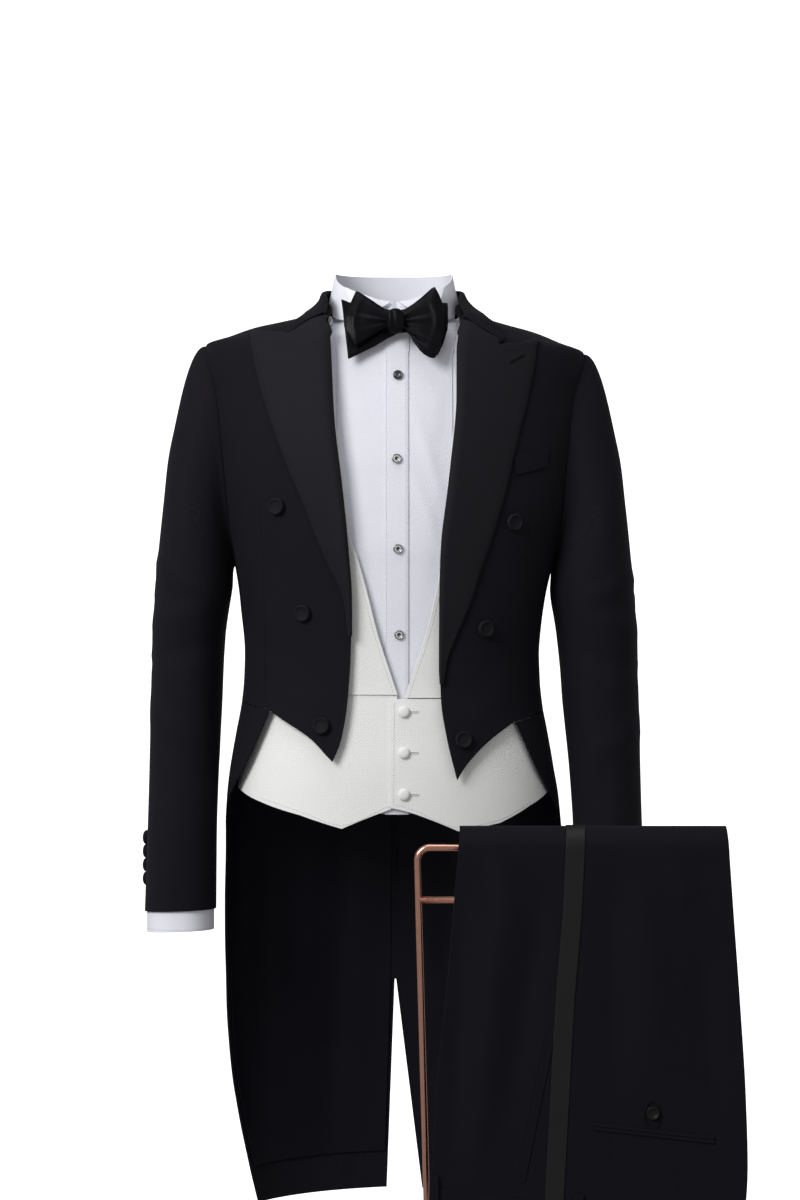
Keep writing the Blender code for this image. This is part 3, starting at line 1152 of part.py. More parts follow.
def build():
    """Every piece of the set."""
    start_scene()
    for side in (-1, 1):
        front = build_front(side)
        build_side(side)
        build_back(side)
        build_sleeve(side)
        build_lapel(side)
        for number, (x, z) in enumerate(COAT_BUTTONS[side], 1):
            place, normal = seat(front, (side * x, -1.0, z), (0, 1, 0))
            lens(f"coat_button_{side_name(side)}_{number}", COAT_BUTTON_RADIUS, COAT_BUTTON_THICK, place,
                 normal, BLACK_WOOL)
        if side > 0:
            welt = laid_on(front, WELT, 3, 1, 2 * SEAM)
            sheet("breast_pocket_welt", welt, WELT_WALL, BLACK_WOOL)
    build_collar()
    build_waistcoat()
    build_shirt()
    build_bow()
    build_trousers()
    build_rack()


build()
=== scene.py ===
"""Looks of the evening tailcoat set: every piece as real cloth, with its weave, creases and stitches.

Metres, in the frame of the solids: the origin is the middle of the neck, +Z is up and the front faces -Y.
A place on the worn clothes is given as a turn round the body, in degrees from the middle of the front, and a
height. Side -1 is at -X and side 1 at +X. The sections follow the order in which the set is dressed.
"""

from math import asin, degrees, pi, radians

import bmesh
import bpy
import numpy as np
from mathutils import Matrix, Vector
from mathutils.bvhtree import BVHTree


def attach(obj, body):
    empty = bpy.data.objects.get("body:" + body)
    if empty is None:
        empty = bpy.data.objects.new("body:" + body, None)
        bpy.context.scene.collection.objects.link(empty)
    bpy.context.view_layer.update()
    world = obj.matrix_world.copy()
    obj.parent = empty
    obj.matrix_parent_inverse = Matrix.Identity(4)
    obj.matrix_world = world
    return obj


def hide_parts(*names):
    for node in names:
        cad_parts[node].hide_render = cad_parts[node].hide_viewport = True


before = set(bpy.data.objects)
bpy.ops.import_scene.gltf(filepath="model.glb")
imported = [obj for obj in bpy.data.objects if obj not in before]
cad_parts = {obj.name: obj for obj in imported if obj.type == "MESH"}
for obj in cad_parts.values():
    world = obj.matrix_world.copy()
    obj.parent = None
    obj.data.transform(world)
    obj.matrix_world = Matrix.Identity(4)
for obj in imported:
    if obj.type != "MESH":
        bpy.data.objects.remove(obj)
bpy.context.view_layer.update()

# Dress shirt: two cotton fronts with a pique bib, a placket, a back, a stand band with folded wings, and cuffs.
# The panels are cut to the general figure under the coat, sewn at the shoulders and sides, and stitched at the
# edges. The figure's tables and the functions that lay and finish cloth stand here, as every later piece uses them.
SEAM = 0.0003
COAT_WALL = 0.002
SHIRT_WALL = 0.0012
SHIRT_IN = 0.0182
SHOULDER_FROM = -0.2  # above this height a layer lies more below the next one, and less inside it
SHOULDER_RANGE = 0.14
SHOULDER_KEEPS = 0.62
BLADES_FROM = 0.02  # a layer lies looser over the back, from this depth on
BLADES_RANGE = 0.03
SHIRT_LOOSE = 0.006
LAYER_BUNCH = 1.3  # the rows of the layers below the coat are closer near the shoulder


def mm(*rows):
    """Rows of millimetres in metres."""
    return np.array(rows) / 1000


COAT_FORM = mm((6, 79.5, 72, 74), (-3.5, 91, 79, 80), (-10.5, 108, 84, 85), (-17.2, 136, 89, 90), (-24, 168, 93, 95),
    (-34, 197, 97, 99), (-43, 223, 100, 103), (-60, 224, 104, 108), (-93, 221, 111, 115), (-146, 218, 120, 121),
    (-195, 212, 126, 121), (-243, 203, 129, 117), (-287, 191, 130, 111), (-304, 187, 129, 108),
    (-345, 180, 127, 100), (-410, 174, 124, 93), (-440, 175, 124, 93), (-468, 178, 126, 97), (-500, 184, 128, 103),
    (-540, 191, 131, 110), (-575, 196, 132, 115), (-645, 201, 133, 120), (-705, 206, 133, 123),
    (-765, 208, 133, 125), (-825, 208, 133, 127), (-898, 205, 133, 130), (-958, 200, 133, 132),
    (-1018, 196, 133, 134), (-1080, 194, 133, 135))
SQUARENESS = 2.3  # of a section of the form, 2 being an ellipse
HEART_HALF = 0.07  # points are laid on the form along rays from a line this long each way
HEART_TOP = -0.12  # at their own height, or at this one under the shoulders
NECKLINE = 0.0045
ROW_STEPS = 4  # steps between two rows of a table, where its line is read off the form
DROOP = 0.062  # the shoulder at +X drops by this share of the distance beyond the neck
DROOP_FROM = 0.07
DROOP_FOOT = -0.42  # and none at this height
DROOP_RANGE = 0.24
SEAM_TURN = 0.004  # half of a sewn seam, as degrees round the body
FINE = 6  # rows and columns of cloth for each one of the solids


def spline(keys, rows):
    """A smooth function through the rows that never swings past them."""
    keys = np.asarray(keys, float)
    rows = np.asarray(rows, float)
    rises = np.diff(rows, axis=0) / np.diff(keys)[:, None]
    before, after = rises[:-1], rises[1:]
    total = np.where(before + after == 0, 1, before + after)
    inner = np.where(before * after > 0, 2 * before * after / total, 0)
    slopes = np.vstack([rises[:1], inner, rises[-1:]])

    def value(at):
        at = np.clip(np.asarray(at, float), keys[0], keys[-1])
        i = np.clip(np.searchsorted(keys, at) - 1, 0, len(keys) - 2)
        step = (keys[i + 1] - keys[i])[..., None]
        s = (at - keys[i])[..., None] / step
        leaving = (1 + 2 * s) * (1 - s) ** 2 * rows[i] + s * (1 - s) ** 2 * step * slopes[i]
        return leaving + s * s * (3 - 2 * s) * rows[i + 1] + s * s * (s - 1) * step * slopes[i + 1]

    return value


def through(table, way=1):
    """A smooth function through a table whose first column, read this way, is the key."""
    table = np.asarray(table, float)
    return spline(way * table[:, 0], table[:, 1:])


form_down = through(COAT_FORM, -1)


def form_sizes(height, inside):
    """Half width and the two depths of a layer this far inside the coat's outer face."""
    shoulder = np.clip((height - SHOULDER_FROM) / SHOULDER_RANGE, 0, 1)
    inset = inside * (1 - (1 - SHOULDER_KEEPS) * shoulder)
    sizes = form_down(-(height + inside * shoulder))
    return np.moveaxis(sizes, -1, 0) - inset


def on_form(grid, inside=0):
    """The places on the clothes of a grid of turns and heights."""
    turn = np.radians(grid[..., 0])
    height = grid[..., 1]
    half, front, back = form_sizes(height, inside)
    across, ahead = np.sin(turn), np.cos(turn)
    power = 2 / SQUARENESS
    x = half * np.sign(across) * np.abs(across) ** power
    y = -np.where(ahead > 0, front, back) * np.sign(ahead) * np.abs(ahead) ** power
    return np.stack([x, y, height], axis=-1)


def turn_at(x, height, inside=0):
    """The turn, on the front, of the place this far across."""
    half = float(form_sizes(np.float64(height), inside)[0])
    ratio = min(abs(x) / half, 1)
    return degrees(asin(ratio ** (SQUARENESS / 2))) * (1 if x >= 0 else -1)


def turns(rows, inside=0, side=1):
    """Rows of distance across and height as closer rows of turn and height, on the near side of the middle."""
    last = len(rows) - 1
    if last > 0:
        rows = spline(np.arange(last + 1), rows)(np.linspace(0, last, last * ROW_STEPS + 1))
    return [(turn_at(x * side, height, inside), height) for x, height in rows]


def samples(rows, count, straight=False, bunch=1):
    """Points along a line through the rows of turn and height, at even steps or bunched near its start."""
    rows = np.asarray(rows, float)
    lengths = np.linalg.norm(np.diff(rows, axis=0) * [radians(0.15), 1], axis=1)
    keys = np.concatenate([[0], np.cumsum(lengths)])
    at = np.linspace(0, 1, count + 1) ** bunch * keys[-1]
    if straight or len(rows) == 2:
        return np.stack([np.interp(at, keys, column) for column in rows.T], axis=-1)
    return spline(keys, rows)(at)


def patch(top, bottom, left, right):
    """The grid filled in between samples of its four edges."""
    u = np.linspace(0, 1, len(top))[None, :, None]
    v = np.linspace(0, 1, len(left))[:, None, None]
    corners = (1 - u) * (1 - v) * top[0] + u * (1 - v) * top[-1] + (1 - u) * v * bottom[0] + u * v * bottom[-1]
    return (1 - v) * top[None] + v * bottom[None] + (1 - u) * left[:, None] + u * right[:, None] - corners


def fill(top, bottom, left, right, inside=0):
    """The grid filled in between four edges of turn and height, laid on the form."""
    points = patch(*[on_form(edge, inside) for edge in (top, bottom, left, right)])
    inner = points[1:-1, 1:-1]
    heart = np.stack([np.clip(inner[..., 0], -HEART_HALF, HEART_HALF), np.zeros(inner.shape[:2]),
        np.minimum(inner[..., 2], HEART_TOP)], axis=-1)
    low, high = np.zeros(inner.shape[:2]), np.full(inner.shape[:2], 4.0)
    for _ in range(30):
        share = (low + high) / 2
        place = heart + (inner - heart) * share[..., None]
        half, front, back = form_sizes(place[..., 2], inside)
        depth = np.where(place[..., 1] < 0, front, back)
        outside = np.abs(place[..., 0] / half) ** SQUARENESS + np.abs(place[..., 1] / depth) ** SQUARENESS > 1
        high = np.where(outside, share, high)
        low = np.where(outside, low, share)
    points[1:-1, 1:-1] = heart + (inner - heart) * low[..., None]
    return points


def moved(points, out):
    """The grid moved this far outwards along its own normals."""
    down = np.gradient(points, axis=0)
    across = np.gradient(points, axis=1)
    normal = np.cross(down, across)
    return points + out * normal / np.linalg.norm(normal, axis=-1, keepdims=True)


SIDES = {-1: "left", 1: "right"}  # as seen from the front


def flip(points, side):
    """The grid on this side of the body. The shoulder at +X hangs a little lower."""
    if side < 0:
        return points * [-1, 1, 1]
    across = np.clip(points[..., 0] - DROOP_FROM, 0, None)
    above = np.clip((points[..., 2] - DROOP_FOOT) / DROOP_RANGE, 0, 1)
    lower = DROOP * across * above * above * (3 - 2 * above)
    return points - lower[..., None] * [0, 0, 1]


def sunk(points, deep):
    """The grid sunk this much further in where it lies over the shoulder blades."""
    share = np.clip((points[..., 1:2] - BLADES_FROM) / BLADES_RANGE, 0, 1)
    return points + share * (moved(points, -deep) - points)


def crest(start, end, count):
    """Points along the shoulder from one height to another."""
    heights = np.linspace(start, end, count + 1)
    return np.stack([np.full(count + 1, 90.0), heights], axis=-1)


def creased(points, creases, heart):
    """The cloth with soft ridges and hollows, in mm: x, z to x, z, half width, height; then face, -1 in front."""
    normal = np.cross(np.gradient(points, axis=0), np.gradient(points, axis=1))
    normal /= np.linalg.norm(normal, axis=-1, keepdims=True) + 1e-12
    if ((points[..., :2] - heart) * normal[..., :2]).sum() < 0:
        normal = -normal
    amount = np.zeros(points.shape[:2])
    for *sizes, face in creases:
        x1, z1, x2, z2, wide, high = mm(*sizes)
        start, along = np.array([x1, z1]), np.array([x2 - x1, z2 - z1])
        away = points[..., [0, 2]] - start
        share = np.clip((away @ along) / (along @ along), 0, 1)
        off = np.linalg.norm(away - share[..., None] * along, axis=-1)
        fade = np.sqrt(np.sin(pi * np.clip(share, 0.03, 0.97)))
        facing = (points[..., 1] - heart[1]) * face > 0
        amount += high * np.exp(-((off / wide) ** 2)) * fade * facing
    return points + amount[..., None] * normal


def along(points, axis):
    """Lengths along the cloth from its first row or column."""
    step = np.linalg.norm(np.diff(points, axis=axis), axis=-1)
    total = np.cumsum(step, axis=axis)
    return np.concatenate([np.zeros_like(np.take(total, [0], axis=axis)), total], axis=axis)


def edged(points, axis, near=0.0006):
    """The grid with a row close inside its first and last edge, which keeps the turned edges crisp."""
    points = np.moveaxis(points, axis, 0)
    added = []
    for edge, inner in ((points[0], points[1]), (points[-1], points[-2])):
        size = np.linalg.norm(inner - edge, axis=-1, keepdims=True).clip(1e-6)
        added.append(edge + (inner - edge) * np.minimum(near / size, 0.4))
    points = np.concatenate([points[:1], added[0][None], points[1:-1], added[1][None], points[-1:]])
    return np.moveaxis(points, 0, axis)


def linked(name, data):
    """A new object in the scene."""
    obj = bpy.data.objects.new(name, data)
    bpy.context.scene.collection.objects.link(obj)
    return obj


def cloth(name, points, wall, finish, nodes=None, heart=(0, 0), grow=1, ring=False, creases=(), held="hung"):
    """A cut piece of cloth on a grid of its inner face, creased, with its thickness and its own UV in metres."""
    points = edged(creased(points, creases, heart), 0)
    points = np.concatenate([points, points[:, :1]], axis=1) if ring else edged(points, 1)
    rows, columns = points.shape[:2]
    across, down = along(points, 1), along(points, 0)
    index = np.arange(rows * columns).reshape(rows, columns)
    quads = np.stack([index[:-1, :-1], index[:-1, 1:], index[1:, 1:], index[1:, :-1]], axis=-1).reshape(-1, 4)
    flat = points.reshape(-1, 3)
    corners = flat[quads]
    normals = np.cross(corners[:, 2] - corners[:, 0], corners[:, 3] - corners[:, 1])
    if ((corners.mean(axis=1)[:, :2] - heart) * normals[:, :2]).sum() < 0:
        quads = quads[:, ::-1]
    mesh = bpy.data.meshes.new(name)
    mesh.from_pydata(flat.tolist(), [], quads.tolist())
    places = np.stack([across.reshape(-1), -down.reshape(-1)], axis=-1)[quads.reshape(-1)]
    mesh.uv_layers.new(name="cloth").data.foreach_set("uv", places.reshape(-1))
    if ring:
        shape = bmesh.new()
        shape.from_mesh(mesh)
        bmesh.ops.remove_doubles(shape, verts=shape.verts, dist=1e-6)
        shape.to_mesh(mesh)
        shape.free()
    mesh.materials.append(finish)
    mesh.shade_smooth()
    obj = linked(name, mesh)
    shell = obj.modifiers.new("wall", "SOLIDIFY")
    shell.thickness = wall
    shell.offset = grow
    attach(obj, "root")
    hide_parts(*([name] if nodes is None else nodes))
    return obj


def fed(made, inputs):
    """A node whose inputs take values or the outputs of other nodes; its own outputs are handed on."""
    for key, value in inputs.items():
        if isinstance(value, bpy.types.NodeSocket):
            made.id_data.links.new(value, made.inputs[key])
        else:
            made.inputs[key].default_value = value
    return made.outputs


def node(tree, kind, inputs=(), **settings):
    """A new node, by default one for shading, with its settings and inputs."""
    made = tree.nodes.new(kind if "Node" in kind else "ShaderNode" + kind)
    for key, value in settings.items():
        setattr(made, key, value)
    return fed(made, dict(inputs))


def blank(name):
    """A new material for this slot, its node tree and its shader."""
    made = bpy.data.materials.new(name)
    made.use_nodes = True
    return made, made.node_tree, made.node_tree.nodes["Principled BSDF"]


WEAVES = {"twill": (45,), "pique": (45, -45), "satin": (90,), "plain": (0, 90)}  # ways of the threads


def woven(name, colour, worn, rough, sheen, weave, pitch, deep, gloss):
    """A cloth: its two colours, weave, thread spacing in metres, depth of the weave, sheen and gloss."""
    made, tree, shader = blank(name)
    place = node(tree, "TexCoord")["UV"]
    noise = node(tree, "TexNoise", {"Vector": place, "Scale": 1.2 / pitch, "Detail": 3, "Roughness": 0.7})["Fac"]
    mottle = node(tree, "TexNoise", {"Vector": place, "Scale": 14, "Detail": 4, "Roughness": 0.6})["Fac"]
    threads = []
    for angle in WEAVES[weave]:
        turn = node(tree, "Mapping", {"Vector": place, "Rotation": (0, 0, radians(angle))})[0]
        wave = {"Vector": turn, "Scale": 0.314 / pitch, "Distortion": 0.6, "Detail": 1}
        threads.append(node(tree, "TexWave", wave)["Fac"])
    pattern = threads[0]
    if len(threads) > 1:
        pattern = node(tree, "Math", {0: threads[0], 1: threads[1]}, operation="MAXIMUM")[0]
    mixed = node(tree, "Math", {0: noise, 1: 0.6, 2: pattern}, operation="MULTIPLY_ADD")[0]
    shift = node(tree, "Math", {0: mottle, 1: 0.5}, operation="MULTIPLY")[0]
    tint = node(tree, "Math", {0: mixed, 1: 0.45, 2: shift}, operation="MULTIPLY_ADD")[0]
    fed(shader, {"Base Color": node(tree, "Mix", {0: tint, 6: (*colour, 1), 7: (*worn, 1)}, data_type="RGBA")[2],
        "Roughness": node(tree, "MapRange", {"Value": mottle, "To Min": rough - 0.06, "To Max": rough + 0.06})[0],
        "Normal": node(tree, "Bump", {"Height": mixed, "Strength": 0.8, "Distance": deep})[0],
        "Specular IOR Level": gloss, "Sheen Weight": sheen, "Sheen Roughness": 0.5})
    return made


SHIRT_NECK = -0.0046
SHIRT_TIP = -0.042
SHIRT_ARMHOLE = ((56, -0.052), (47, -0.064), (46, -0.1), (47, -0.16), (60, -0.235), (76, -0.28), (90, -0.3))
SHIRT_HEM_MIDDLE = -0.592
SHIRT_HEM_SIDE = -0.56
SHIRT_HEM = ((0, -0.592), (12, -0.588), (35, -0.57), (90, -0.56))  # turn, height
SHIRT_ROWS = 11
PLACKET = (-0.0113, 0.0158)  # from, to
PLACKET_WALL = 0.001
BAND_TOP = ((0, 0.002), (10, 0.004), (25, 0.01), (50, 0.02), (75, 0.031), (95, 0.0415),
            (180, 0.043))  # turn, height
BAND_RISE = 0.0016  # above the shirt's neck edge, at the inner face
BAND_TAPER = 0.965
BAND_BELLY = 0.0055  # the band swells by this much at the sides, this far above its seam
BAND_BELLY_RISE = 0.0062
BAND_SIDES_FROM = 0.72
WING_TIP = (0.043, -0.079, -0.02)
WING_TURNS = (10, 28, 46)  # of its fold along the collar band
WING_OUT = 1.02
WING_AHEAD = 0.0026
WING_END = ((-0.004, 0, 0), (0, 0, 0), (0.004, 0.002, 0.002))  # corners about the tip
WING_BEND = 0.6
WING_BELLY = 0.001
NECK_COLUMNS = 4 * FINE
BIB_ACROSS = (PLACKET[1] * 0.6, 0.0665)  # from under the placket to the pique bib's outer edge
BIB_HEIGHTS = (-0.03, SHIRT_HEM_MIDDLE + 0.02)
BIB_WALL = 0.0007
SHIRT_CREASES = {
    -1: ((-66, -190, -30, -330, 6, 1.2, -1), (-55, -300, -18, -380, 5, 1, -1), (-60, -100, -45, -220, 9, -1, -1)),
    1: ((22, -125, 60, -245, 6, 1.3, -1), (20, -200, 52, -285, 6, 1, -1), (62, -90, 50, -200, 9, -1, -1)),
}
shirting = woven("shirt_cotton", (0.72, 0.72, 0.8), (0.8, 0.8, 0.87), 0.8, 0.03, "plain", 0.0009,
    0.00004, 0.15)
bib_pique = woven("bib_pique", (0.69, 0.69, 0.78), (0.8, 0.8, 0.87), 0.8, 0.03, "pique", 0.003,
    0.00025, 0.15)


def neck_ring(turn):
    """The shirt's neck seam at these turns, on its inner face."""
    turn = np.asarray(turn, float)
    return on_form(np.stack([turn, np.full(turn.shape, SHIRT_NECK)], axis=-1), SHIRT_IN)


def stitch_run(name, path, spacing, length, thick, finish, slot=None):
    """Stitches along a path: short rounded bars, realised from a curve."""
    mesh = bpy.data.meshes.new(name + "_line")
    mesh.from_pydata([tuple(map(float, point)) for point in path], [(i, i + 1) for i in range(len(path) - 1)], [])
    guide = linked(name + "_line", mesh)
    group = bpy.data.node_groups.new(name, "GeometryNodeTree")
    for way in ("INPUT", "OUTPUT"):
        group.interface.new_socket("Geometry", in_out=way, socket_type="NodeSocketGeometry")
    curve = node(group, "GeometryNodeMeshToCurve", {0: node(group, "NodeGroupInput")[0]})[0]
    places = node(group, "GeometryNodeResampleCurve", {"Curve": curve, "Length": spacing}, mode="LENGTH")[0]
    bar = node(group, "GeometryNodeMeshCylinder", {"Vertices": 6, "Depth": length, "Radius": thick})[0]
    tangent = node(group, "GeometryNodeInputTangent")[0]
    aim = node(group, "FunctionNodeAlignEulerToVector", {"Vector": tangent}, axis="Z")[0]
    rows = node(group, "GeometryNodeInstanceOnPoints", {"Points": places, "Instance": bar, "Rotation": aim})[0]
    smooth = node(group, "GeometryNodeSetShadeSmooth", {0: node(group, "GeometryNodeRealizeInstances", {0: rows})[0]})
    painted = node(group, "GeometryNodeSetMaterial", {"Geometry": smooth[0], "Material": finish})[0]
    node(group, "NodeGroupOutput", {0: painted})
    guide.modifiers.new("stitches", "NODES").node_group = group
    bpy.context.view_layer.update()
    made = bpy.data.meshes.new_from_object(guide.evaluated_get(bpy.context.evaluated_depsgraph_get()))
    made.name = name
    bpy.data.objects.remove(guide)
    row = linked(name, made)
    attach(row, "root")


def seat(obj, start, direction=(0, 1, 0)):
    """Where rays from one start or more meet the finished surface of a piece, and the way it faces there."""
    bpy.context.view_layer.update()
    tree = BVHTree.FromObject(obj, bpy.context.evaluated_depsgraph_get())
    hits = [tree.ray_cast(Vector(place), Vector(direction))[:2] for place in start]
    return [hit for hit in hits if hit[0] is not None]


def surface_line(obj, places, clear=0.0002):
    """Places on the finished face of a piece, seen from the front."""
    return [place + normal * clear for place, normal in seat(obj, [(x, -1, z) for x, z in places])]


def sewn(name, obj, rows, count, stitch, finish, clear=0.0002, slot=None):
    """Stitches on a piece along a smooth line; the stitch is its spacing, length and thickness."""
    stitch_run(name, surface_line(obj, drawn(rows, count), clear), *stitch, finish, slot)


def drawn(rows, count):
    """Closer places along a smooth line through rows of x and z."""
    rows = np.asarray(rows, float)
    if len(rows) == 2:
        return rows[0] + np.linspace(0, 1, count)[:, None] * (rows[1] - rows[0])
    return spline(np.arange(len(rows)), rows)(np.linspace(0, len(rows) - 1, count))


neck = samples([(0, SHIRT_NECK), (90, SHIRT_NECK)], 3 * FINE)
tip = crest(SHIRT_NECK, SHIRT_TIP, 3 * FINE)
for side, name in SIDES.items():
    top = np.vstack([neck, tip[1:]])
    right = samples([(90, SHIRT_TIP), *SHIRT_ARMHOLE, (90, SHIRT_HEM_SIDE)], SHIRT_ROWS * FINE, bunch=LAYER_BUNCH)
    left = samples([(0, SHIRT_NECK), (0, SHIRT_HEM_MIDDLE)], SHIRT_ROWS * FINE, bunch=LAYER_BUNCH)
    bottom = samples(SHIRT_HEM, 6 * FINE)
    points = fill(top, bottom, left, right, SHIRT_IN)
    points[:, 0, 0] = SEAM / 2
    points[0, 3 * FINE:, 1] = -SEAM
    points[4 * FINE:, -1, 1] -= SEAM / 2
    cloth(f"shirt_front_{name}", flip(points, side), SHIRT_WALL, shirting, creases=SHIRT_CREASES[side])
    grid = [[(turn_at(x, height, SHIRT_IN), height) for x in np.linspace(*BIB_ACROSS, 16)]
        for height in np.linspace(*BIB_HEIGHTS, 90)]
    bib = on_form(np.array(grid), SHIRT_IN - SHIRT_WALL - SEAM)
    cloth(f"shirt_bib_{name}", flip(bib, side), BIB_WALL, bib_pique, (), creases=SHIRT_CREASES[side])


def whole_back(name, side_line, neck, tip, hem, rows, inside, loose, wall, finish, side_gap=0):
    """A back in one piece, whose side runs through these turns and heights, loose over the shoulder blades."""
    left = samples([(90, tip), *side_line], rows, bunch=LAYER_BUNCH)
    top = np.vstack([crest(tip, neck, 3 * FINE), samples([(90, neck), (180, neck)], NECK_COLUMNS)[1:]])
    bottom = samples([left[-1], (180, hem)], len(top) - 1)
    right = samples([top[-1], bottom[-1]], rows, bunch=LAYER_BUNCH)
    half = sunk(fill(top, bottom, left, right, inside), loose)
    half[:, -1, 0] = 0
    half[0, :3 * FINE + 1, 1] = SEAM
    half[4 * FINE:, 0, 1] += side_gap
    cloth(name, np.concatenate([flip(half, -1), flip(half, 1)[:, -2::-1]], axis=1), wall, finish)


side_line = [(180 - turn, height) for turn, height in (*SHIRT_ARMHOLE, (90, SHIRT_HEM_SIDE))]
whole_back("shirt_back", side_line, SHIRT_NECK, SHIRT_TIP, SHIRT_HEM_SIDE, SHIRT_ROWS * FINE, SHIRT_IN, SHIRT_LOOSE,
    SHIRT_WALL, shirting, SEAM / 2)
heights = np.linspace(SHIRT_NECK - 0.018, SHIRT_HEM_MIDDLE, 90)
lines = []
for x in np.linspace(PLACKET[0], PLACKET[1], 9):
    turn = np.array([turn_at(x, height, SHIRT_IN) for height in heights])
    lines.append(on_form(np.stack([turn, heights], axis=-1), SHIRT_IN - SHIRT_WALL - BIB_WALL - SEAM - 0.0001))
placket = cloth("shirt_placket", np.stack(lines, axis=1), PLACKET_WALL, bib_pique)
thread = woven("white_thread", (0.6, 0.6, 0.68), (0.74, 0.74, 0.8), 0.6, 0.02, "satin", 0.0006,
    0.00002, 0.2)
for number, x in enumerate((PLACKET[0] + 0.0012, PLACKET[1] - 0.0012, PLACKET[1] - 0.0032), 1):
    sewn(f"placket_stitches_{number}", placket, [(x, -0.045), (x, -0.46)], 60, (0.0026, 0.0018, 0.00022), thread)

BAND_DROP = 0.0185  # the band's seam lies this much lower in front
BAND_WIDER = (1.058, 1.015)  # than the neck of the form, at -X and at +X
turn = np.linspace(1, 359, 24 * FINE)
from_front = 180 - np.abs(180 - turn)
neck = neck_ring(turn) + [0, 0, BAND_RISE]
wider = np.where(neck[:, 0] < 0, *BAND_WIDER)
neck[:, 0] *= wider
high = neck * [BAND_TAPER, BAND_TAPER, 0]
high[:, 2:] = through(BAND_TOP)(from_front)
sides = np.clip((np.abs(np.sin(np.radians(turn))) - BAND_SIDES_FROM) / (1 - BAND_SIDES_FROM), 0, 1)
belly = neck + BAND_BELLY * (sides * np.sign(neck[:, 0]))[:, None] * [1, 0, 0]
belly[:, 2] = np.minimum(neck[:, 2] + BAND_BELLY_RISE, (neck[:, 2] + high[:, 2]) / 2)
drop = BAND_DROP * np.clip(1 - (from_front / 90) ** 2, 0, 1) ** 0.8
low = on_form(np.stack([turn, SHIRT_NECK - drop], axis=-1), SHIRT_IN - SHIRT_WALL - 0.0003) + [0, 0, BAND_RISE]
low[:, 0] *= wider
stand = spline((0, 0.4, 0.7, 1), np.stack([high, (high + belly) / 2, belly, low]).reshape(4, -1))
cloth("shirt_collar_band", stand(np.linspace(0, 1, 18)).reshape(18, -1, 3), SHIRT_WALL, shirting)

for side, name in SIDES.items():
    around = np.linspace(WING_TURNS[0] - 8, WING_TURNS[-1] + 8, 24)
    top = neck_ring(around) * [WING_OUT, WING_OUT, 0] - [0, WING_AHEAD, 0]
    top[:, 2:] = through(BAND_TOP)(around)
    end = np.array(WING_TIP) + spline((0, 1, 2), WING_END)(np.linspace(0, 2, 24))
    middle = top * (1 - WING_BEND) + end * WING_BEND - [0, WING_BELLY, 0]
    points = spline((0, 1, 2), np.stack([top, middle, end]).reshape(3, -1))(np.linspace(0, 2, 14)).reshape(14, 24, 3)
    cloth(f"shirt_wing_{name}", flip(points, side), SHIRT_WALL, shirting, held="folded")

# Studs: four small round metal studs pushed through the placket's holes. Each is a turned rim round a pale
# mother-of-pearl ring with a dark heart; the top one is dark all over.
STUDS = ((0.0035, -0.085), (0.0021, -0.182), (0.0037, -0.286), (0.005, -0.385))
STUD = (((0, 0.66), (0.36, 0.66), (0.42, 0.8), (0.64, 0.78), (0.7, 0.62), (0.76, 0.92), (0.88, 1), (0.97, 0.82),
         (1, 0.5), (0.94, 0.12), (0.7, 0), (0, 0)), 0.0056, 0.0035)  # profile of radius and height; radius; height


def piece(name, shape, finishes, nodes=None):
    """A finished piece of the part from its shape, with its finishes."""
    mesh = bpy.data.meshes.new(name)
    shape.to_mesh(mesh)
    shape.free()
    for finish in finishes:
        mesh.materials.append(finish)
    mesh.shade_smooth()
    obj = linked(name, mesh)
    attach(obj, "root")
    if nodes != ():
        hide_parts(*(nodes or [name]))
    return obj


def turned(name, profile, radius, thick, place, normal, finish, face=(), nodes=None, slot=None, segments=32):
    """A piece turned about its own axis from rows of radius and height, seated on its place."""
    points, faces = [], []
    for share, rise in profile:
        for angle in np.linspace(0, 2 * pi, segments, endpoint=False):
            points.append((share * radius * np.cos(angle), share * radius * np.sin(angle), rise * thick))
    for row in range(len(profile) - 1):
        for c in range(segments):
            d = (c + 1) % segments
            faces.append((row * segments + c, (row + 1) * segments + c, (row + 1) * segments + d, row * segments + d))
    mesh = bpy.data.meshes.new(name)
    mesh.from_pydata(points, [], faces)
    shape = bmesh.new()
    shape.from_mesh(mesh)
    bpy.data.meshes.remove(mesh)
    shape.faces.ensure_lookup_table()
    for number, (_, first, last) in enumerate(face, 1):
        for quad in shape.faces[first * segments:last * segments]:
            quad.material_index = number
    bmesh.ops.remove_doubles(shape, verts=shape.verts, dist=1e-7)
    bmesh.ops.recalc_face_normals(shape, faces=shape.faces)
    turn = Vector((0, 0, 1)).rotation_difference(normal).to_matrix().to_4x4()
    bmesh.ops.transform(shape, matrix=Matrix.Translation(place) @ turn, verts=shape.verts)
    return piece(name, shape, (finish, *[row[0] for row in face]), nodes)


def fixed(name, obj, x, z, form, finish, face=(), above=0, slot=None):
    """A button or stud of this form (profile, radius, thickness) set on the front of a piece."""
    place, normal = seat(obj, [(x, -1, z)])[0]
    turned(name, *form, place + normal * above, normal, finish, face, slot=slot)


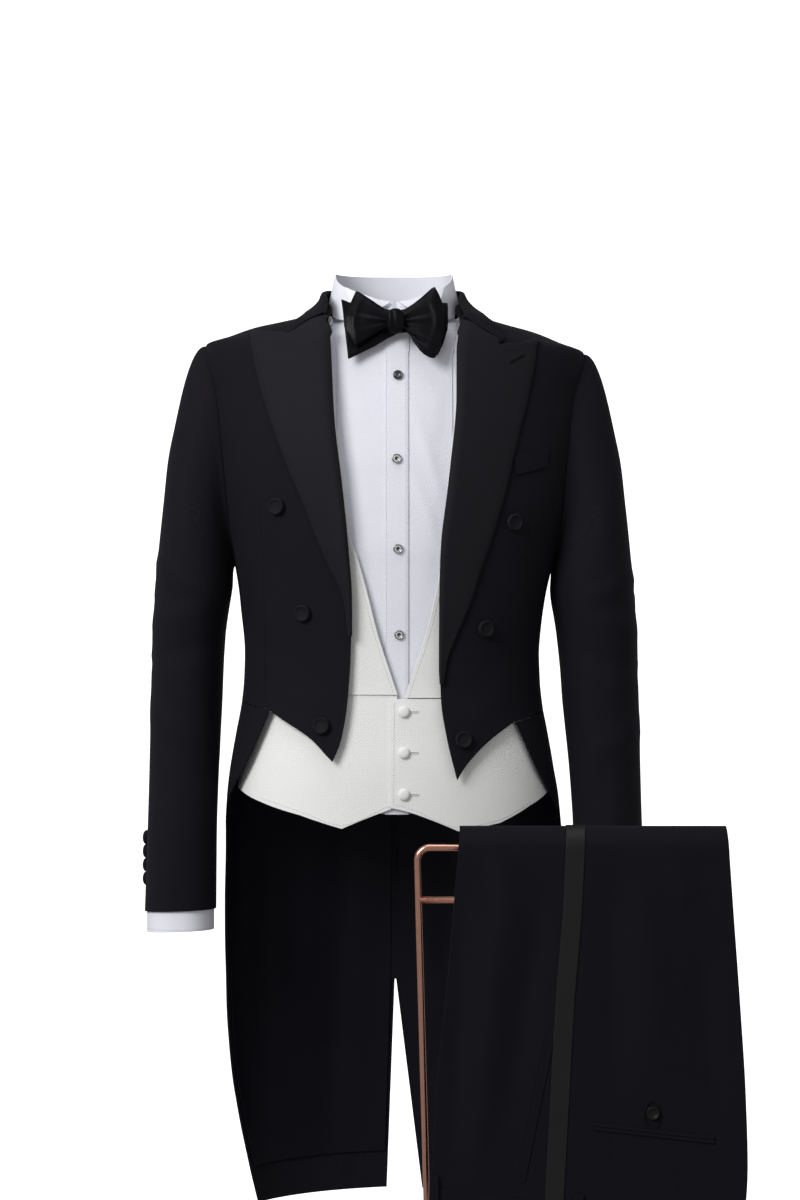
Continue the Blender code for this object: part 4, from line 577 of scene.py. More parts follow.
def polished(name, colour, rough, metal, speck, depth, gloss=0.5, coat=0):
    """A hard finish with faint streaks: metal, pearl or lacquer."""
    made, tree, shader = blank(name)
    place = node(tree, "TexCoord")["Object"]
    noise = node(tree, "TexNoise", {"Vector": place, "Scale": speck, "Detail": 3})["Fac"]
    spread = {"Value": noise, "To Min": max(rough - 0.08, 0.02), "To Max": rough + 0.08}
    colours = tree.nodes.new("ShaderNodeValToRGB")
    for stop, share in zip(colours.color_ramp.elements, (0.82, 1)):
        stop.color = (*[c * share for c in colour], 1)
    fed(shader, {"Roughness": node(tree, "MapRange", spread)[0], "Base Color": fed(colours, {"Fac": noise})[0],
        "Normal": node(tree, "Bump", {"Height": noise, "Strength": 0.4, "Distance": depth})[0], "Metallic": metal,
        "Specular IOR Level": gloss, "Coat Weight": coat})
    return made


stud_rim = polished("stud_silver", (0.4, 0.4, 0.42), 0.2, 1, 900, 0.00002)
stud_dim = polished("stud_black_nickel", (0.1, 0.1, 0.11), 0.25, 1, 900, 0.00002)
stud_pearl = polished("stud_pearl", (0.62, 0.61, 0.6), 0.25, 0, 600, 0.00003, coat=0.6)
stud_dark = polished("stud_dark", (0.03, 0.04, 0.04), 0.2, 0, 600, 0.00003, coat=0.8)
for number, (x, z) in enumerate(STUDS, 1):
    face = ((stud_dark, 0, 4),) if number == 1 else ((stud_dark, 0, 2), (stud_pearl, 2, 4))
    fixed(f"shirt_stud_{number}", placket, x, z, STUD, stud_dim if number == 1 else stud_rim, face, 0.0001)

# Waistcoat: white cotton pique, cut low, with two upper fronts, two pointed waistband fronts that button right
# over left, and a back. Its edges are turned in and stitched; three buttons are covered in the same cloth.
WAISTCOAT_WALL = 0.0015
WAISTCOAT_IN = 0.0107
WAISTCOAT_UNDER = 0.002  # the lower waistband front lies this much further in at the middle
WAISTCOAT_LOOSE = 0.0021
WAISTCOAT_V = {
    -1: mm((-74.5, -30), (-73.5, -60), (-70, -120), (-60.5, -200), (-50.8, -276), (-44.2, -292), (-32.3, -334),
        (-19.3, -385), (-7.2, -422.6), (3.4, -454.4)),
    1: mm((74.5, -30), (72.5, -60), (70, -120), (62, -200), (54.5, -280), (52.1, -310), (41.7, -360.5),
        (31.1, -398.9), (20.6, -429), (11.3, -458)),
}
WAISTCOAT_NECK = -0.01  # height of the shoulder strap at its inner edge, then at its outer edge
WAISTCOAT_TIP = -0.03
WAISTCOAT_ARMHOLE = ((52, -0.04), (38.5, -0.054), (36, -0.08), (35, -0.12), (39, -0.18), (50, -0.24), (68, -0.295),
    (86, -0.335), (95, -0.345))
WAISTCOAT_SIDE_TURN = 95
WAISTBAND_TOP = {-1: -0.4547, 1: -0.46}
WAISTCOAT_BACK_HEM = -0.562
WAISTBAND_HEM = {
    -1: mm((3.4, -583.5), (-12.8, -588.9), (-61.2, -608.5), (-109.1, -593.5), (-155.1, -579.7), (-178, -569)),
    1: mm((-5.5, -584), (23.3, -591.2), (73.2, -611.4), (121.1, -602.7), (155.6, -584.3), (178, -569)),
}
WAISTCOAT_BUTTONS = ((0.0106, -0.474), (0.0106, -0.521), (0.0106, -0.569))
WAISTCOAT_CREASES = ((-36, -370, -52, -450, 8, 1, -1), (46, -390, 62, -455, 8, 1, -1))
marcella = woven("waistcoat_marcella", (0.73, 0.73, 0.725), (0.83, 0.83, 0.82), 0.82, 0.03, "pique",
    0.0026, 0.0003, 0.15)
ivory_thread = woven("ivory_thread", (0.58, 0.58, 0.56), (0.72, 0.72, 0.7), 0.6, 0.02, "satin", 0.0006,
    0.00002, 0.2)
PIQUE_STITCH = (0.0034, 0.0022, 0.00024)  # spacing, length, thickness
EDGE_STITCH_IN = 0.0045
bands = {}
SEAM_LAP = 0.0007  # the waistband closes up to the fronts
for side, name in SIDES.items():
    top = crest(WAISTCOAT_NECK, WAISTCOAT_TIP, 4 * FINE)
    side_seam = (WAISTCOAT_SIDE_TURN - SEAM_TURN, WAISTBAND_TOP[side])
    right = samples([(90, WAISTCOAT_TIP), *WAISTCOAT_ARMHOLE[:-1],
        (WAISTCOAT_SIDE_TURN - SEAM_TURN, WAISTCOAT_ARMHOLE[-1][1]), side_seam], 13 * FINE)
    neck = turns(WAISTCOAT_V[side], WAISTCOAT_IN, side)
    left = samples([(90, WAISTCOAT_NECK), (68, -0.012), *neck[1:]], 13 * FINE, bunch=LAYER_BUNCH)
    bottom = samples([left[-1], right[-1]], 4 * FINE)
    points = fill(top, bottom, left, right, WAISTCOAT_IN)
    points[0, :, 1] = -SEAM
    front = cloth(f"waistcoat_front_{name}", flip(points, side), WAISTCOAT_WALL, marcella, creases=WAISTCOAT_CREASES)
    edge = [(x + side * EDGE_STITCH_IN, z) for x, z in WAISTCOAT_V[side][3:]]
    sewn(f"waistcoat_edge_stitches_{name}", front, edge, 60, PIQUE_STITCH, ivory_thread)

    hem = [turns([place], WAISTCOAT_IN, side)[0] for place in WAISTBAND_HEM[side]]
    start = (hem[0][0], WAISTBAND_TOP[side] + SEAM_LAP)
    corner = (WAISTCOAT_SIDE_TURN - SEAM_TURN, WAISTCOAT_BACK_HEM)
    columns = 7 * FINE
    top = samples([start, (corner[0], WAISTBAND_TOP[side] + SEAM_LAP)], columns)
    bottom = samples([*hem, corner], columns, straight=True)
    for place in hem[1:-1]:
        bottom[np.argmin(np.abs(bottom[:, 0] - place[0]))] = place
    left = samples([start, hem[0]], 3 * FINE)
    right = samples([(corner[0], WAISTBAND_TOP[side] + SEAM_LAP), corner], 3 * FINE)
    inside = np.full((3 * FINE + 1, columns + 1), WAISTCOAT_IN)
    if side < 0:
        inside = inside + WAISTCOAT_UNDER * np.clip(1 - np.arange(columns + 1) / (3 * FINE), 0, 1)
    points = on_form(patch(top, bottom, left, right), inside)
    bands[side] = cloth(f"waistband_{name}", flip(points, side), WAISTCOAT_WALL, marcella)
    rows = [(x, z + EDGE_STITCH_IN) for x, z in WAISTBAND_HEM[side][:-1]]
    if side > 0:
        rows[0] = (rows[0][0] + 0.004, rows[0][1])
    low = drawn(rows, 80)
    if side > 0:
        low = np.vstack([drawn([(WAISTBAND_HEM[1][0][0] + 0.005, WAISTBAND_TOP[1] - 0.004), low[0]], 20), low])
    stitch_run(f"waistband_stitches_{name}", surface_line(bands[side], low), *PIQUE_STITCH, ivory_thread)

side_line = [(180 - turn, height) for turn, height in WAISTCOAT_ARMHOLE[:-1]]
side_line += [(WAISTCOAT_SIDE_TURN + SEAM_TURN, height) for height in (WAISTCOAT_ARMHOLE[-1][1], WAISTCOAT_BACK_HEM)]
whole_back("waistcoat_back", side_line, WAISTCOAT_NECK, WAISTCOAT_TIP, WAISTCOAT_BACK_HEM, 12 * FINE, WAISTCOAT_IN,
    WAISTCOAT_LOOSE, WAISTCOAT_WALL, marcella)

DOMED = ((0, 1), (0.34, 0.98), (0.62, 0.91), (0.82, 0.78), (0.94, 0.56), (1, 0.34), (0.97, 0.14), (0.85, 0.03),
         (0, 0))  # profile of a domed covered button: radius, height
COVERED = ((0, 0.74), (0.4, 0.75), (0.62, 0.78), (0.7, 0.88), (0.79, 0.99), (0.88, 0.98), (0.96, 0.8), (1, 0.52),
           (0.98, 0.26), (0.88, 0.06), (0, 0))  # the same for a flat one with a raised rim
WAISTCOAT_BUTTON = (DOMED, 0.0068, 0.0045)  # profile, radius, height
BUTTONHOLE_FROM = 0.0075  # from the button's middle
BUTTONHOLE_TO = 0.0165
BUTTONHOLE_HALF = 0.0008  # half its width
BUTTONHOLE_STITCH = (0.0006, 0.0007, 0.0005)


def buttonhole(name, obj, start, end, finish, slot=None):
    """A worked buttonhole: two rows of close thread with the slit between them."""
    start, end = np.array(start), np.array(end)
    way = end - start
    off = np.array([-way[1], way[0]]) / np.linalg.norm(way) * BUTTONHOLE_HALF
    shares = np.linspace(0, 1, 12)[:, None]
    loop = np.vstack([start + off + shares * way, end - off - shares * way, [start + off]])
    stitch_run(name, surface_line(obj, loop, 0.0003), *BUTTONHOLE_STITCH, finish, slot)


for number, (x, z) in enumerate(WAISTCOAT_BUTTONS, 1):
    fixed(f"waistcoat_button_{number}", bands[1], x, z, WAISTCOAT_BUTTON, marcella)
    ends = (x + BUTTONHOLE_FROM, z), (x + BUTTONHOLE_TO, z)
    buttonhole(f"waistcoat_buttonhole_{number}", bands[1], *ends, ivory_thread)

# Bow tie: one length of black silk satin tied by hand. Two front loops fold towards the knot, two flat blades
# stand behind them, a knot is wrapped round the middle and a short band runs under the wings.
BOW_Y = -0.0905
BOW_LEAN = 0.33
BLADES_BACK = 0.0086
KNOT = (0.0008, -0.023, 0.0115, 0.0048, 0.0145)  # x, height, half width, half depth, half height
KNOT_CLEAR = 0.0015
KNOT_PLEATS = (0.1, 9.24, 1.1)  # depth, and how fast they run across and up, as shares of the knot's size
KNOT_WAIST = (0.1, 0.45)  # how much narrower the middle is, over this height
KNOT_SQUARE = 2.6
TIE_BAND_LOW = 0.002
TIE_BAND_HIGH = 0.01
TIE_BAND_OUT = 0.0013
TIE_BAND_DROP = 0.0165  # lower by this much at the knot
TIE_BAND_MIDDLE = (0.0045, -0.0853, -0.029, -0.0184)  # half width, y and the two heights behind the knot
TIE_BAND_TURNS = (8, 40)  # it shows nowhere beyond the bow, so it ends behind the blades, under the wings
LOOP_EDGES = mm(  # across, upper edge, lower edge, thickness
    (-58.8, -22, -28, 3), (-57.7, -15, -31.5, 6), (-56.7, -12.7, -34.3, 7), (-53, -4.4, -40.5, 8.5),
    (-50.9, 0.4, -44, 9.5), (-48, 7.1, -48.9, 10.5), (-45.2, 13.4, -51.7, 11), (-42, 12.8, -49.6, 12),
    (-36, 8.8, -45.7, 12.8), (-28.7, 4, -41, 13.2), (-20, -2.2, -35.6, 12.5), (-11.4, -7.6, -30.4, 11),
    (0, -11, -29, 10), (11.8, -8, -31, 11), (16.7, -4.9, -37.4, 11.8), (21.4, -1.8, -47.3, 12.6),
    (29.2, 4.6, -57.8, 13.4), (33, 7.8, -61.4, 13.4), (38.8, 13.3, -65, 12.8), (43, 17, -66.4, 12),
    (46.5, 18.3, -66, 10.8), (48.5, 14.8, -62.4, 10), (51.4, 9.1, -54.9, 8.5), (55.2, -0.5, -41.4, 6),
    (57.1, -11, -27, 3.5),
)
BLADE_EDGES = mm((-62.1, 4.4, 2, 1.8), (-61, 4, -5.2, 2.2), (-59, 3.2, -22.6, 2.4), (-57, 2.4, -40, 2.6),
    (-55.5, 1.8, -53, 2.8), (-53.9, 1, -66.8, 2.8), (-50, 0, -65.2, 3), (-40.3, -2, -60.3, 3.4),
    (-23, -8, -51.7, 3.6), (-9.4, -13, -43, 3.6), (4, -15, -36.3, 3.4), (13.7, -14, -35.3, 3.2), (30, -8, -50, 3.2),
    (46.5, -2, -64, 3), (50, 0, -61.5, 3), (56.1, 0.2, -48.8, 2.8), (61, 0, -32.3, 2.4), (61.7, -4, -26, 2))
BOW_FOLDS = (  # side, angle up from level at the knot, half width in degrees, height, reach
    (-1, 6, 3.5, 0.0022, 0.042), (-1, 15, 4, -0.0015, 0.038), (-1, -38, 4, 0.003, 0.05),
    (-1, -28, 4, -0.0018, 0.045), (-1, 34, 5, 0.0012, 0.036), (-1, -8, 4, -0.0014, 0.04),
    (1, 5, 3.5, 0.0024, 0.034), (1, 14, 4, -0.0016, 0.034), (1, -32, 3.5, 0.0026, 0.048),
    (1, -24, 3.5, -0.0018, 0.044), (1, -42, 3.5, -0.0026, 0.05), (1, -52, 4, 0.0024, 0.05),
    (1, 34, 5, 0.0012, 0.03), (1, -6, 4, -0.0012, 0.036),
)
BOW_ROLLS = ((-1, 0.048, 0.004, 0.0016, 4, 30), (1, 0.048, 0.0042, 0.0022, 8, 34))  # the rolled ends
silk = woven("bow_silk", (0.0022, 0.0022, 0.003), (0.0044, 0.0044, 0.0058), 0.34, 0, "satin", 0.0009,
    0.00003, 0.07)


def silk_piece(name, shape, texture_ways, nodes=None):
    """A finished piece of silk with its UV along two axes."""
    texture = shape.loops.layers.uv.new("cloth")
    for face in shape.faces:
        for loop in face.loops:
            loop[texture].uv = [loop.vert.co[axis] for axis in texture_ways]
    area = sum(face.calc_area() for face in shape.faces) / 2
    piece(name, shape, [silk], nodes)


def tied(name, table, back, folds, rolls):
    """A silk loop or blade in close upright sections, with folds that run from the knot."""
    keys, *columns = np.array(table).T
    stations = np.unique(np.round(np.concatenate([np.linspace(keys[0], keys[-1], 110), keys]), 5))
    upper, lower, thick = (np.interp(stations, keys, column) for column in columns)
    around = np.linspace(0, 2 * pi, 84, endpoint=False)
    z = (upper + lower)[:, None] / 2 + (upper - lower)[:, None] / 2 * np.cos(around)
    half = thick[:, None] / 2 * np.sign(np.sin(around)) * np.abs(np.sin(around)) ** 0.7
    x = np.repeat(stations[:, None], len(around), axis=1)
    y = BOW_Y + BOW_LEAN * z + back + half
    away = np.hypot(x - KNOT[0], z - KNOT[1])
    rise = np.degrees(np.arctan2(z - KNOT[1], np.abs(x - KNOT[0])))
    for side, angle, wide, high, reach in folds:
        ridge = high * np.exp(-(((rise - angle) / wide) ** 2)) * np.exp(-((away / reach) ** 2)) * (x * side > 0)
        y = y - ridge * np.clip(-np.sin(around) + 0.2, 0, 1)
    for side, far, wide, high, centre, spread in rolls:
        ridge = high * np.exp(-(((away - far) / wide) ** 2) - ((rise - centre) / spread) ** 2) * (x * side > 0)
        y = y - ridge * np.clip(-np.sin(around) + 0.2, 0, 1)
    points = np.stack([x, y, z], axis=-1)
    shape = bmesh.new()
    rings = [[shape.verts.new(point) for point in ring] for ring in points.tolist()]
    for above, below in zip(rings, rings[1:]):
        for c in range(len(around)):
            d = (c + 1) % len(around)
            shape.faces.new((above[c], above[d], below[d], below[c]))
    shape.faces.new(rings[0])
    shape.faces.new(rings[-1][::-1])
    bmesh.ops.recalc_face_normals(shape, faces=shape.faces)
    silk_piece(name, shape, (0, 2))


tied("bow_loops", LOOP_EDGES, 0, BOW_FOLDS, BOW_ROLLS)
tied("bow_blades", BLADE_EDGES, BLADES_BACK, BOW_FOLDS[2:4] + BOW_FOLDS[8:9], ())
knot_x, knot_height, knot_wide, knot_deep, knot_tall = KNOT
knot_front = BOW_Y + BOW_LEAN * knot_height - LOOP_EDGES[12][3] / 2 - knot_deep - KNOT_CLEAR
shape = bmesh.new()
bmesh.ops.create_uvsphere(shape, u_segments=64, v_segments=40, radius=1)
for vert in shape.verts:
    x, y, z = vert.co
    pleat = KNOT_PLEATS[0] * np.sin(KNOT_PLEATS[1] * x + KNOT_PLEATS[2] * z) * (1 - z * z) * (y < 0)
    waist = 1 - KNOT_WAIST[0] * np.exp(-(z / KNOT_WAIST[1]) ** 2)
    corner = 1 / max(abs(x) ** KNOT_SQUARE + abs(z) ** KNOT_SQUARE, 0.45) ** 0.16
    vert.co = (knot_x + x * corner * waist * knot_wide, knot_front + (y - pleat) * knot_deep,
        knot_height + z * corner * knot_tall)
silk_piece("bow_knot_silk", shape, (2, 0), ["bow_knot"])

ring = neck_ring(np.linspace(TIE_BAND_TURNS[0], TIE_BAND_TURNS[1], 31))
ring = ring + TIE_BAND_OUT * ring * [1, 1, 0] / np.linalg.norm(ring[:, :2], axis=1, keepdims=True)
middle_x, middle_y, middle_low, middle_high = TIE_BAND_MIDDLE
ring[:, 2] -= TIE_BAND_DROP * np.linspace(1, 0, len(ring))
low = np.vstack([(middle_x, middle_y, middle_low), ring + [0, 0, TIE_BAND_LOW]])
high = np.vstack([(middle_x, middle_y, middle_high), ring + [0, 0, TIE_BAND_HIGH]])
shares = np.linspace(0, 1, 5)[:, None, None]
half = high * (1 - shares) + low * shares
points = np.concatenate([half[:, ::-1] * [-1, 1, 1], half], axis=1)
cloth("bow_band", points, SHIRT_WALL, silk, held="folded")

# Tailcoat body: two fronts, two side bodies, and two backs that run on into the tails, with the skirts sewn on at
# the waist and a satin lining inside them. Fine black worsted with a soft nap; the seams are pressed open.
FRONT_EDGE = {
    -1: mm((75.5, -14), (73.3, -69), (69.8, -138), (61.8, -207), (54.9, -276), (50.3, -345), (50.3, -391),
        (53.7, -455), (62.3, -508), (71.5, -531)),
    1: mm((75.5, -18), (71.5, -60), (71.2, -115), (62.3, -207), (53.1, -289), (51.9, -347), (51.9, -418),
        (53.1, -460), (60, -505), (71.5, -552)),
}
FRONT_HEM = {
    -1: mm((71.5, -531), (78.1, -524.5), (97.4, -504), (128.9, -482), (142, -472)),
    1: mm((71.5, -552), (80, -538), (96.1, -519.6), (120, -500), (142, -486)),
}
WAIST_SEAM = {
    -1: ((50.5, -0.472), (75, -0.465), (110, -0.462), (180, -0.462)),
    1: ((50.5, -0.486), (75, -0.476), (110, -0.468), (180, -0.462)),
}
FRONT_SEAM_TURN = 75  # where the side body meets the front at the waist
BACK_SEAM_TURN = 169
WAIST_GAP = 0.0009  # at the inner face: the waist is hollow, so the outer faces lean together
ARMHOLE_MIDDLE = -0.175
ARMHOLE_HALF_HEIGHT = 0.1285
ARMHOLE_HALF_DEPTH = 0.05
SHOULDER_TIP = ARMHOLE_MIDDLE + ARMHOLE_HALF_HEIGHT
ARM_STEP = 18 // FINE
FRONT_SEAM_ARM = 126  # degrees from the armhole's top round the front to the side body
BACK_SEAM_ARM = 252  # and on to the back
FRONT_SEAM = (FRONT_SEAM_ARM, FRONT_SEAM_TURN)
BACK_SEAM = (BACK_SEAM_ARM, BACK_SEAM_TURN, (125, -0.25), (145, -0.31), (160, -0.38))  # then turn, height between
TAIL = (  # share of the way down, turn of the seam and of the front edge
    (0, 169, 50.5), (0.05, 168.8, 55), (0.11, 168.5, 62), (0.17, 168, 74), (0.22, 167.8, 86),
    (0.3, 167.4, 95), (0.4, 167, 100.5), (0.52, 166.4, 103.6), (0.62, 165.9, 105), (0.72, 165.4, 107),
    (0.82, 164.9, 111.2), (0.92, 164.4, 117.6), (1, 164, 123.5),
)
TAIL_ROWS = np.interp(np.arange(0, 10 * FINE + 1) / FINE, np.arange(11),
    (0, 0.055, 0.11, 0.165, 0.22, 0.31, 0.42, 0.55, 0.7, 0.85, 1))
TAIL_HEM_MIDDLE = -1.062
TAIL_HEM_EDGE = -1.072
VENT_TOP = 0.56  # share of the tail's length above the opening
VENT_OPENS = {-1: 0.01, 1: 0.033}  # how far the middle edge stands off at the hem
BACK_COLUMNS = 7 * FINE
FRONT_SKIRT_COLUMNS = 2 * FINE
LINING_WALL = 0.0012
LINING_IN = {-1: 0.0011, 1: 0.0009}
LINING_EDGE_SHARE = 0.43  # of the last columns and row that the lining stops short
LINING_HEM_SHARE = 0.5
FRONT_CREASES = {
    -1: ((-150, -240, -150, -440, 18, 1.2, -1), (-95, -420, -165, -395, 13, -1, -1),
        (-185, -270, -150, -360, 12, 1.2, -1), (-75, -470, -135, -440, 12, 1, -1)),
    1: ((152, -250, 152, -450, 18, 1.2, -1), (95, -430, 165, -405, 13, -1, -1), (188, -270, 150, -350, 12, 1.3, -1),
        (78, -490, 135, -450, 12, 1, -1)),
}
BACK_CREASES = ((-100, -100, -60, -400, 20, 1.5, 1), (110, -120, 70, -380, 18, 1.4, 1),
    (-50, -440, 60, -430, 12, 1.2, 1), (-150, -220, -90, -300, 14, -1.2, 1), (150, -200, 90, -310, 14, -1.2, 1))
TAIL_CREASES = ((-125, -520, -150, -1020, 22, 3, 1), (-60, -550, -85, -1040, 20, 2.4, 1),
    (65, -560, 80, -1040, 22, 2.8, 1), (130, -500, 158, -1000, 20, 2.6, 1), (-170, -520, -185, -900, 16, -2, 1),
    (172, -540, 188, -920, 16, -2, 1))
worsted = woven("tailcoat_worsted", (0.0044, 0.0038, 0.006), (0.01, 0.009, 0.013), 0.8, 0.012, "twill",
    0.0011, 0.0001, 0.07)
tail_satin = woven("tail_satin", (0.0034, 0.0031, 0.0058), (0.0064, 0.006, 0.0106), 0.46, 0, "satin",
    0.001, 0.00004, 0.11)
black_thread = woven("black_thread", (0.0032, 0.0032, 0.0038), (0.008, 0.008, 0.009), 0.6, 0, "satin",
    0.0006, 0.00002, 0.1)


def armhole(degrees_round):
    """Turn and height on the armhole, these many degrees from its top round the front."""
    angle = np.radians(np.asarray(degrees_round, float))
    height = ARMHOLE_MIDDLE + ARMHOLE_HALF_HEIGHT * np.cos(angle)
    ahead = ARMHOLE_HALF_DEPTH * np.sin(angle)
    _, front, back = form_sizes(height, COAT_WALL)
    depth = np.where(ahead >= 0, front, back)
    away = np.degrees(np.arcsin((np.abs(ahead) / depth) ** (SQUARENESS / 2)))
    return np.stack([90 - np.sign(ahead) * away, height], axis=-1)


def waist_height(side, turn):
    """Height of the waist seam at this turn."""
    return np.interp(turn, *np.array(WAIST_SEAM[side]).T)


def waist_turns():
    """The turns of the columns along the waist seam: under the front, then under the side body."""
    under_front = np.linspace(TAIL[0][2], FRONT_SEAM_TURN, FRONT_SKIRT_COLUMNS + 1)
    under_side = np.linspace(FRONT_SEAM_TURN, BACK_SEAM_TURN, (BACK_SEAM_ARM - FRONT_SEAM_ARM) // ARM_STEP + 1)
    return np.concatenate([under_front[:-1], under_side])


def tail_grid(side, part):
    """Turns and heights of the tail: its back strip, or its skirt from the front edge to that strip."""
    shares = TAIL_ROWS
    seam, edge = np.moveaxis(through(TAIL)(shares), -1, 0)
    middle_heights = waist_height(side, 180) * (1 - shares) + TAIL_HEM_MIDDLE * shares
    opening = VENT_OPENS[side] * np.clip((shares - VENT_TOP) / (1 - VENT_TOP), 0, 1) + SEAM / 2
    middle = 180 - np.array([turn_at(x, z, COAT_WALL) for x, z in zip(opening, middle_heights)])
    if part == "back":
        start, end, steps = seam + SEAM_TURN, middle, np.linspace(0, 1, BACK_COLUMNS + 1)
    else:
        columns = waist_turns()
        start, end, steps = edge, seam - SEAM_TURN, (columns - columns[0]) / (columns[-1] - columns[0])
    turn = start[:, None] + (end - start)[:, None] * steps
    towards_edge = np.clip((180 - turn) / (180 - edge[-1]), 0, 1)
    hem = TAIL_HEM_MIDDLE + (TAIL_HEM_EDGE - TAIL_HEM_MIDDLE) * towards_edge
    height = waist_height(side, turn) * (1 - shares[:, None]) + hem * shares[:, None]
    return np.stack([turn, height], axis=-1)


def body_seam(side, arm, turn, *middle):
    """A seam of the side body, from the armhole down to the waist."""
    return samples([armhole([arm])[0], *middle, (turn, waist_height(side, turn))], 5 * FINE)


def back_points(side):
    """The inner face of the back, shoulder to hem."""
    arm = armhole(np.arange(360, BACK_SEAM_ARM - 1, -ARM_STEP))
    seam = body_seam(side, *BACK_SEAM)[1:] + [SEAM_TURN, 0]
    left = np.vstack([arm, seam])
    neck = samples([(90, NECKLINE), (180, NECKLINE)], NECK_COLUMNS)
    top = np.vstack([crest(SHOULDER_TIP, NECKLINE, BACK_COLUMNS - NECK_COLUMNS), neck[1:]])
    tail = tail_grid(side, "back")
    right = samples([(180, NECKLINE), tuple(tail[0, -1])], len(left) - 1, bunch=LAYER_BUNCH)
    upper = fill(top, tail[0], left, right, COAT_WALL)
    upper[0, : BACK_COLUMNS - NECK_COLUMNS + 1, 1] = SEAM
    upper[:, -1, 0] = SEAM / 2
    return np.concatenate([upper, on_form(tail[1:], COAT_WALL)]), len(upper) - 1


def between(grid, rows, columns):
    """The grid at places between its own rows and columns."""
    r = np.clip(np.floor(rows).astype(int), 0, grid.shape[0] - 2)
    down = (rows - r)[:, None, None]
    grid = grid[r] * (1 - down) + grid[r + 1] * down
    c = np.clip(np.floor(columns).astype(int), 0, grid.shape[1] - 2)
    over = (columns - c)[None, :, None]
    return grid[:, c] * (1 - over) + grid[:, c + 1] * over


WAIST_EASE = 0.0036
NECK_EASE = 0.0026


def eased(points):
    """The coat stands a few millimetres towards -X at the neck and at the waist."""
    x, z = points[..., 0], points[..., 2]
    waist = np.interp(z, (-0.75, -0.6, -0.36, -0.24), (0, 1, 1, 0))
    waist = waist * np.interp(np.abs(x), (0.09, 0.14, 0.19, 0.205), (0, 1, 1, 0))
    neck = np.interp(z, (-0.014, -0.002), (0, 1)) * np.interp(x, (-0.12, -0.085, -0.05, -0.03), (0, 1, 1, 0))
    return points - (WAIST_EASE * waist + NECK_EASE * neck)[..., None] * [1, 0, 0]


coat_fronts, middles = {}, {}
FRONT_DART = mm((156, -232), (152, -352), (151, -462))
VENT_LAP_LOW = -0.822
for side, name in SIDES.items():
    arm = armhole(np.arange(0, FRONT_SEAM_ARM + 1, ARM_STEP))
    right = np.vstack([arm, body_seam(side, *FRONT_SEAM)[1:] - [SEAM_TURN, 0]])
    left = samples([(90, NECKLINE), (62, 0.001), *turns(FRONT_EDGE[side], COAT_WALL)], len(right) - 1)
    hem = samples(turns(FRONT_HEM[side], COAT_WALL), 4 * FINE)
    seam_turns = waist_turns()[1:FRONT_SKIRT_COLUMNS]
    waist = np.stack([seam_turns, waist_height(side, seam_turns)], axis=-1)
    bottom = np.vstack([hem, waist, right[-1:]])
    points = fill(crest(NECKLINE, SHOULDER_TIP, len(bottom) - 1), bottom, left, right, COAT_WALL)
    points[0, :, 1] = -SEAM
    coat_fronts[side] = cloth(f"coat_front_{name}", eased(flip(points, side)), COAT_WALL, worsted,
        creases=FRONT_CREASES[side])

    top = armhole(np.arange(FRONT_SEAM_ARM, BACK_SEAM_ARM + 1, ARM_STEP))
    left = body_seam(side, *FRONT_SEAM) + [SEAM_TURN, 0]
    right = body_seam(side, *BACK_SEAM) - [SEAM_TURN, 0]
    turn = waist_turns()[FRONT_SKIRT_COLUMNS:]
    bottom = np.stack([turn, waist_height(side, turn)], axis=-1)
    bottom[0], bottom[-1] = left[-1], right[-1]
    points = eased(flip(fill(top, bottom, left, right, COAT_WALL), side))
    cloth(f"coat_side_{name}", points, COAT_WALL, worsted, creases=FRONT_CREASES[side] + BACK_CREASES)

    back, waist = back_points(side)
    middles[side] = flip(back, side)[waist:, -1]
    skirt = on_form(tail_grid(side, "skirt"), COAT_WALL)
    skirt[0, :, 2] -= WAIST_GAP
    cloth(f"coat_back_{name}", eased(flip(back, side)), COAT_WALL, worsted, creases=BACK_CREASES + TAIL_CREASES)
    cloth(f"coat_skirt_{name}", eased(flip(skirt, side)), COAT_WALL, worsted, creases=TAIL_CREASES)
    lining = moved(np.concatenate([skirt, back[waist:, 1:]], axis=1), -LINING_IN[side])
    last_row, last_column = lining.shape[0] - 1, lining.shape[1] - 1
    rows = np.linspace(2.2 * FINE, last_row - LINING_HEM_SHARE * FINE, 40)
    columns = np.linspace(LINING_EDGE_SHARE * FINE, last_column - LINING_EDGE_SHARE * FINE, 60)
    points = eased(flip(between(lining, rows, columns), side))
    cloth(f"tail_lining_{name}", points, LINING_WALL, tail_satin, grow=-1, creases=TAIL_CREASES)

    dart = [(side * x, z) for x, z in FRONT_DART]
    sewn(f"front_dart_{name}", coat_fronts[side], dart, 60, (0.0019, 0.0017, 0.0003), black_thread, 0)
    edge = [(side * (x + 0.006), z) for x, z in FRONT_EDGE[side][6:]]
    edge += [(side * (x + 0.003), z + 0.006) for x, z in FRONT_HEM[side][1:-1]]
    sewn(f"front_edge_stitches_{name}", coat_fronts[side], edge, 90, (0.004, 0.0016, 0.00022), black_thread, 0.0001)

lap = middles[-1][middles[-1][:, 2] > VENT_LAP_LOW] - [0, 0.0006, 0]  # sewn inside the left tail
shares = np.linspace(-0.012, 0.007, 8)
cloth("vent_lap", lap[:, None] + shares[:, None] * [1, 0, 0], 0.0008, worsted, (), grow=-1)

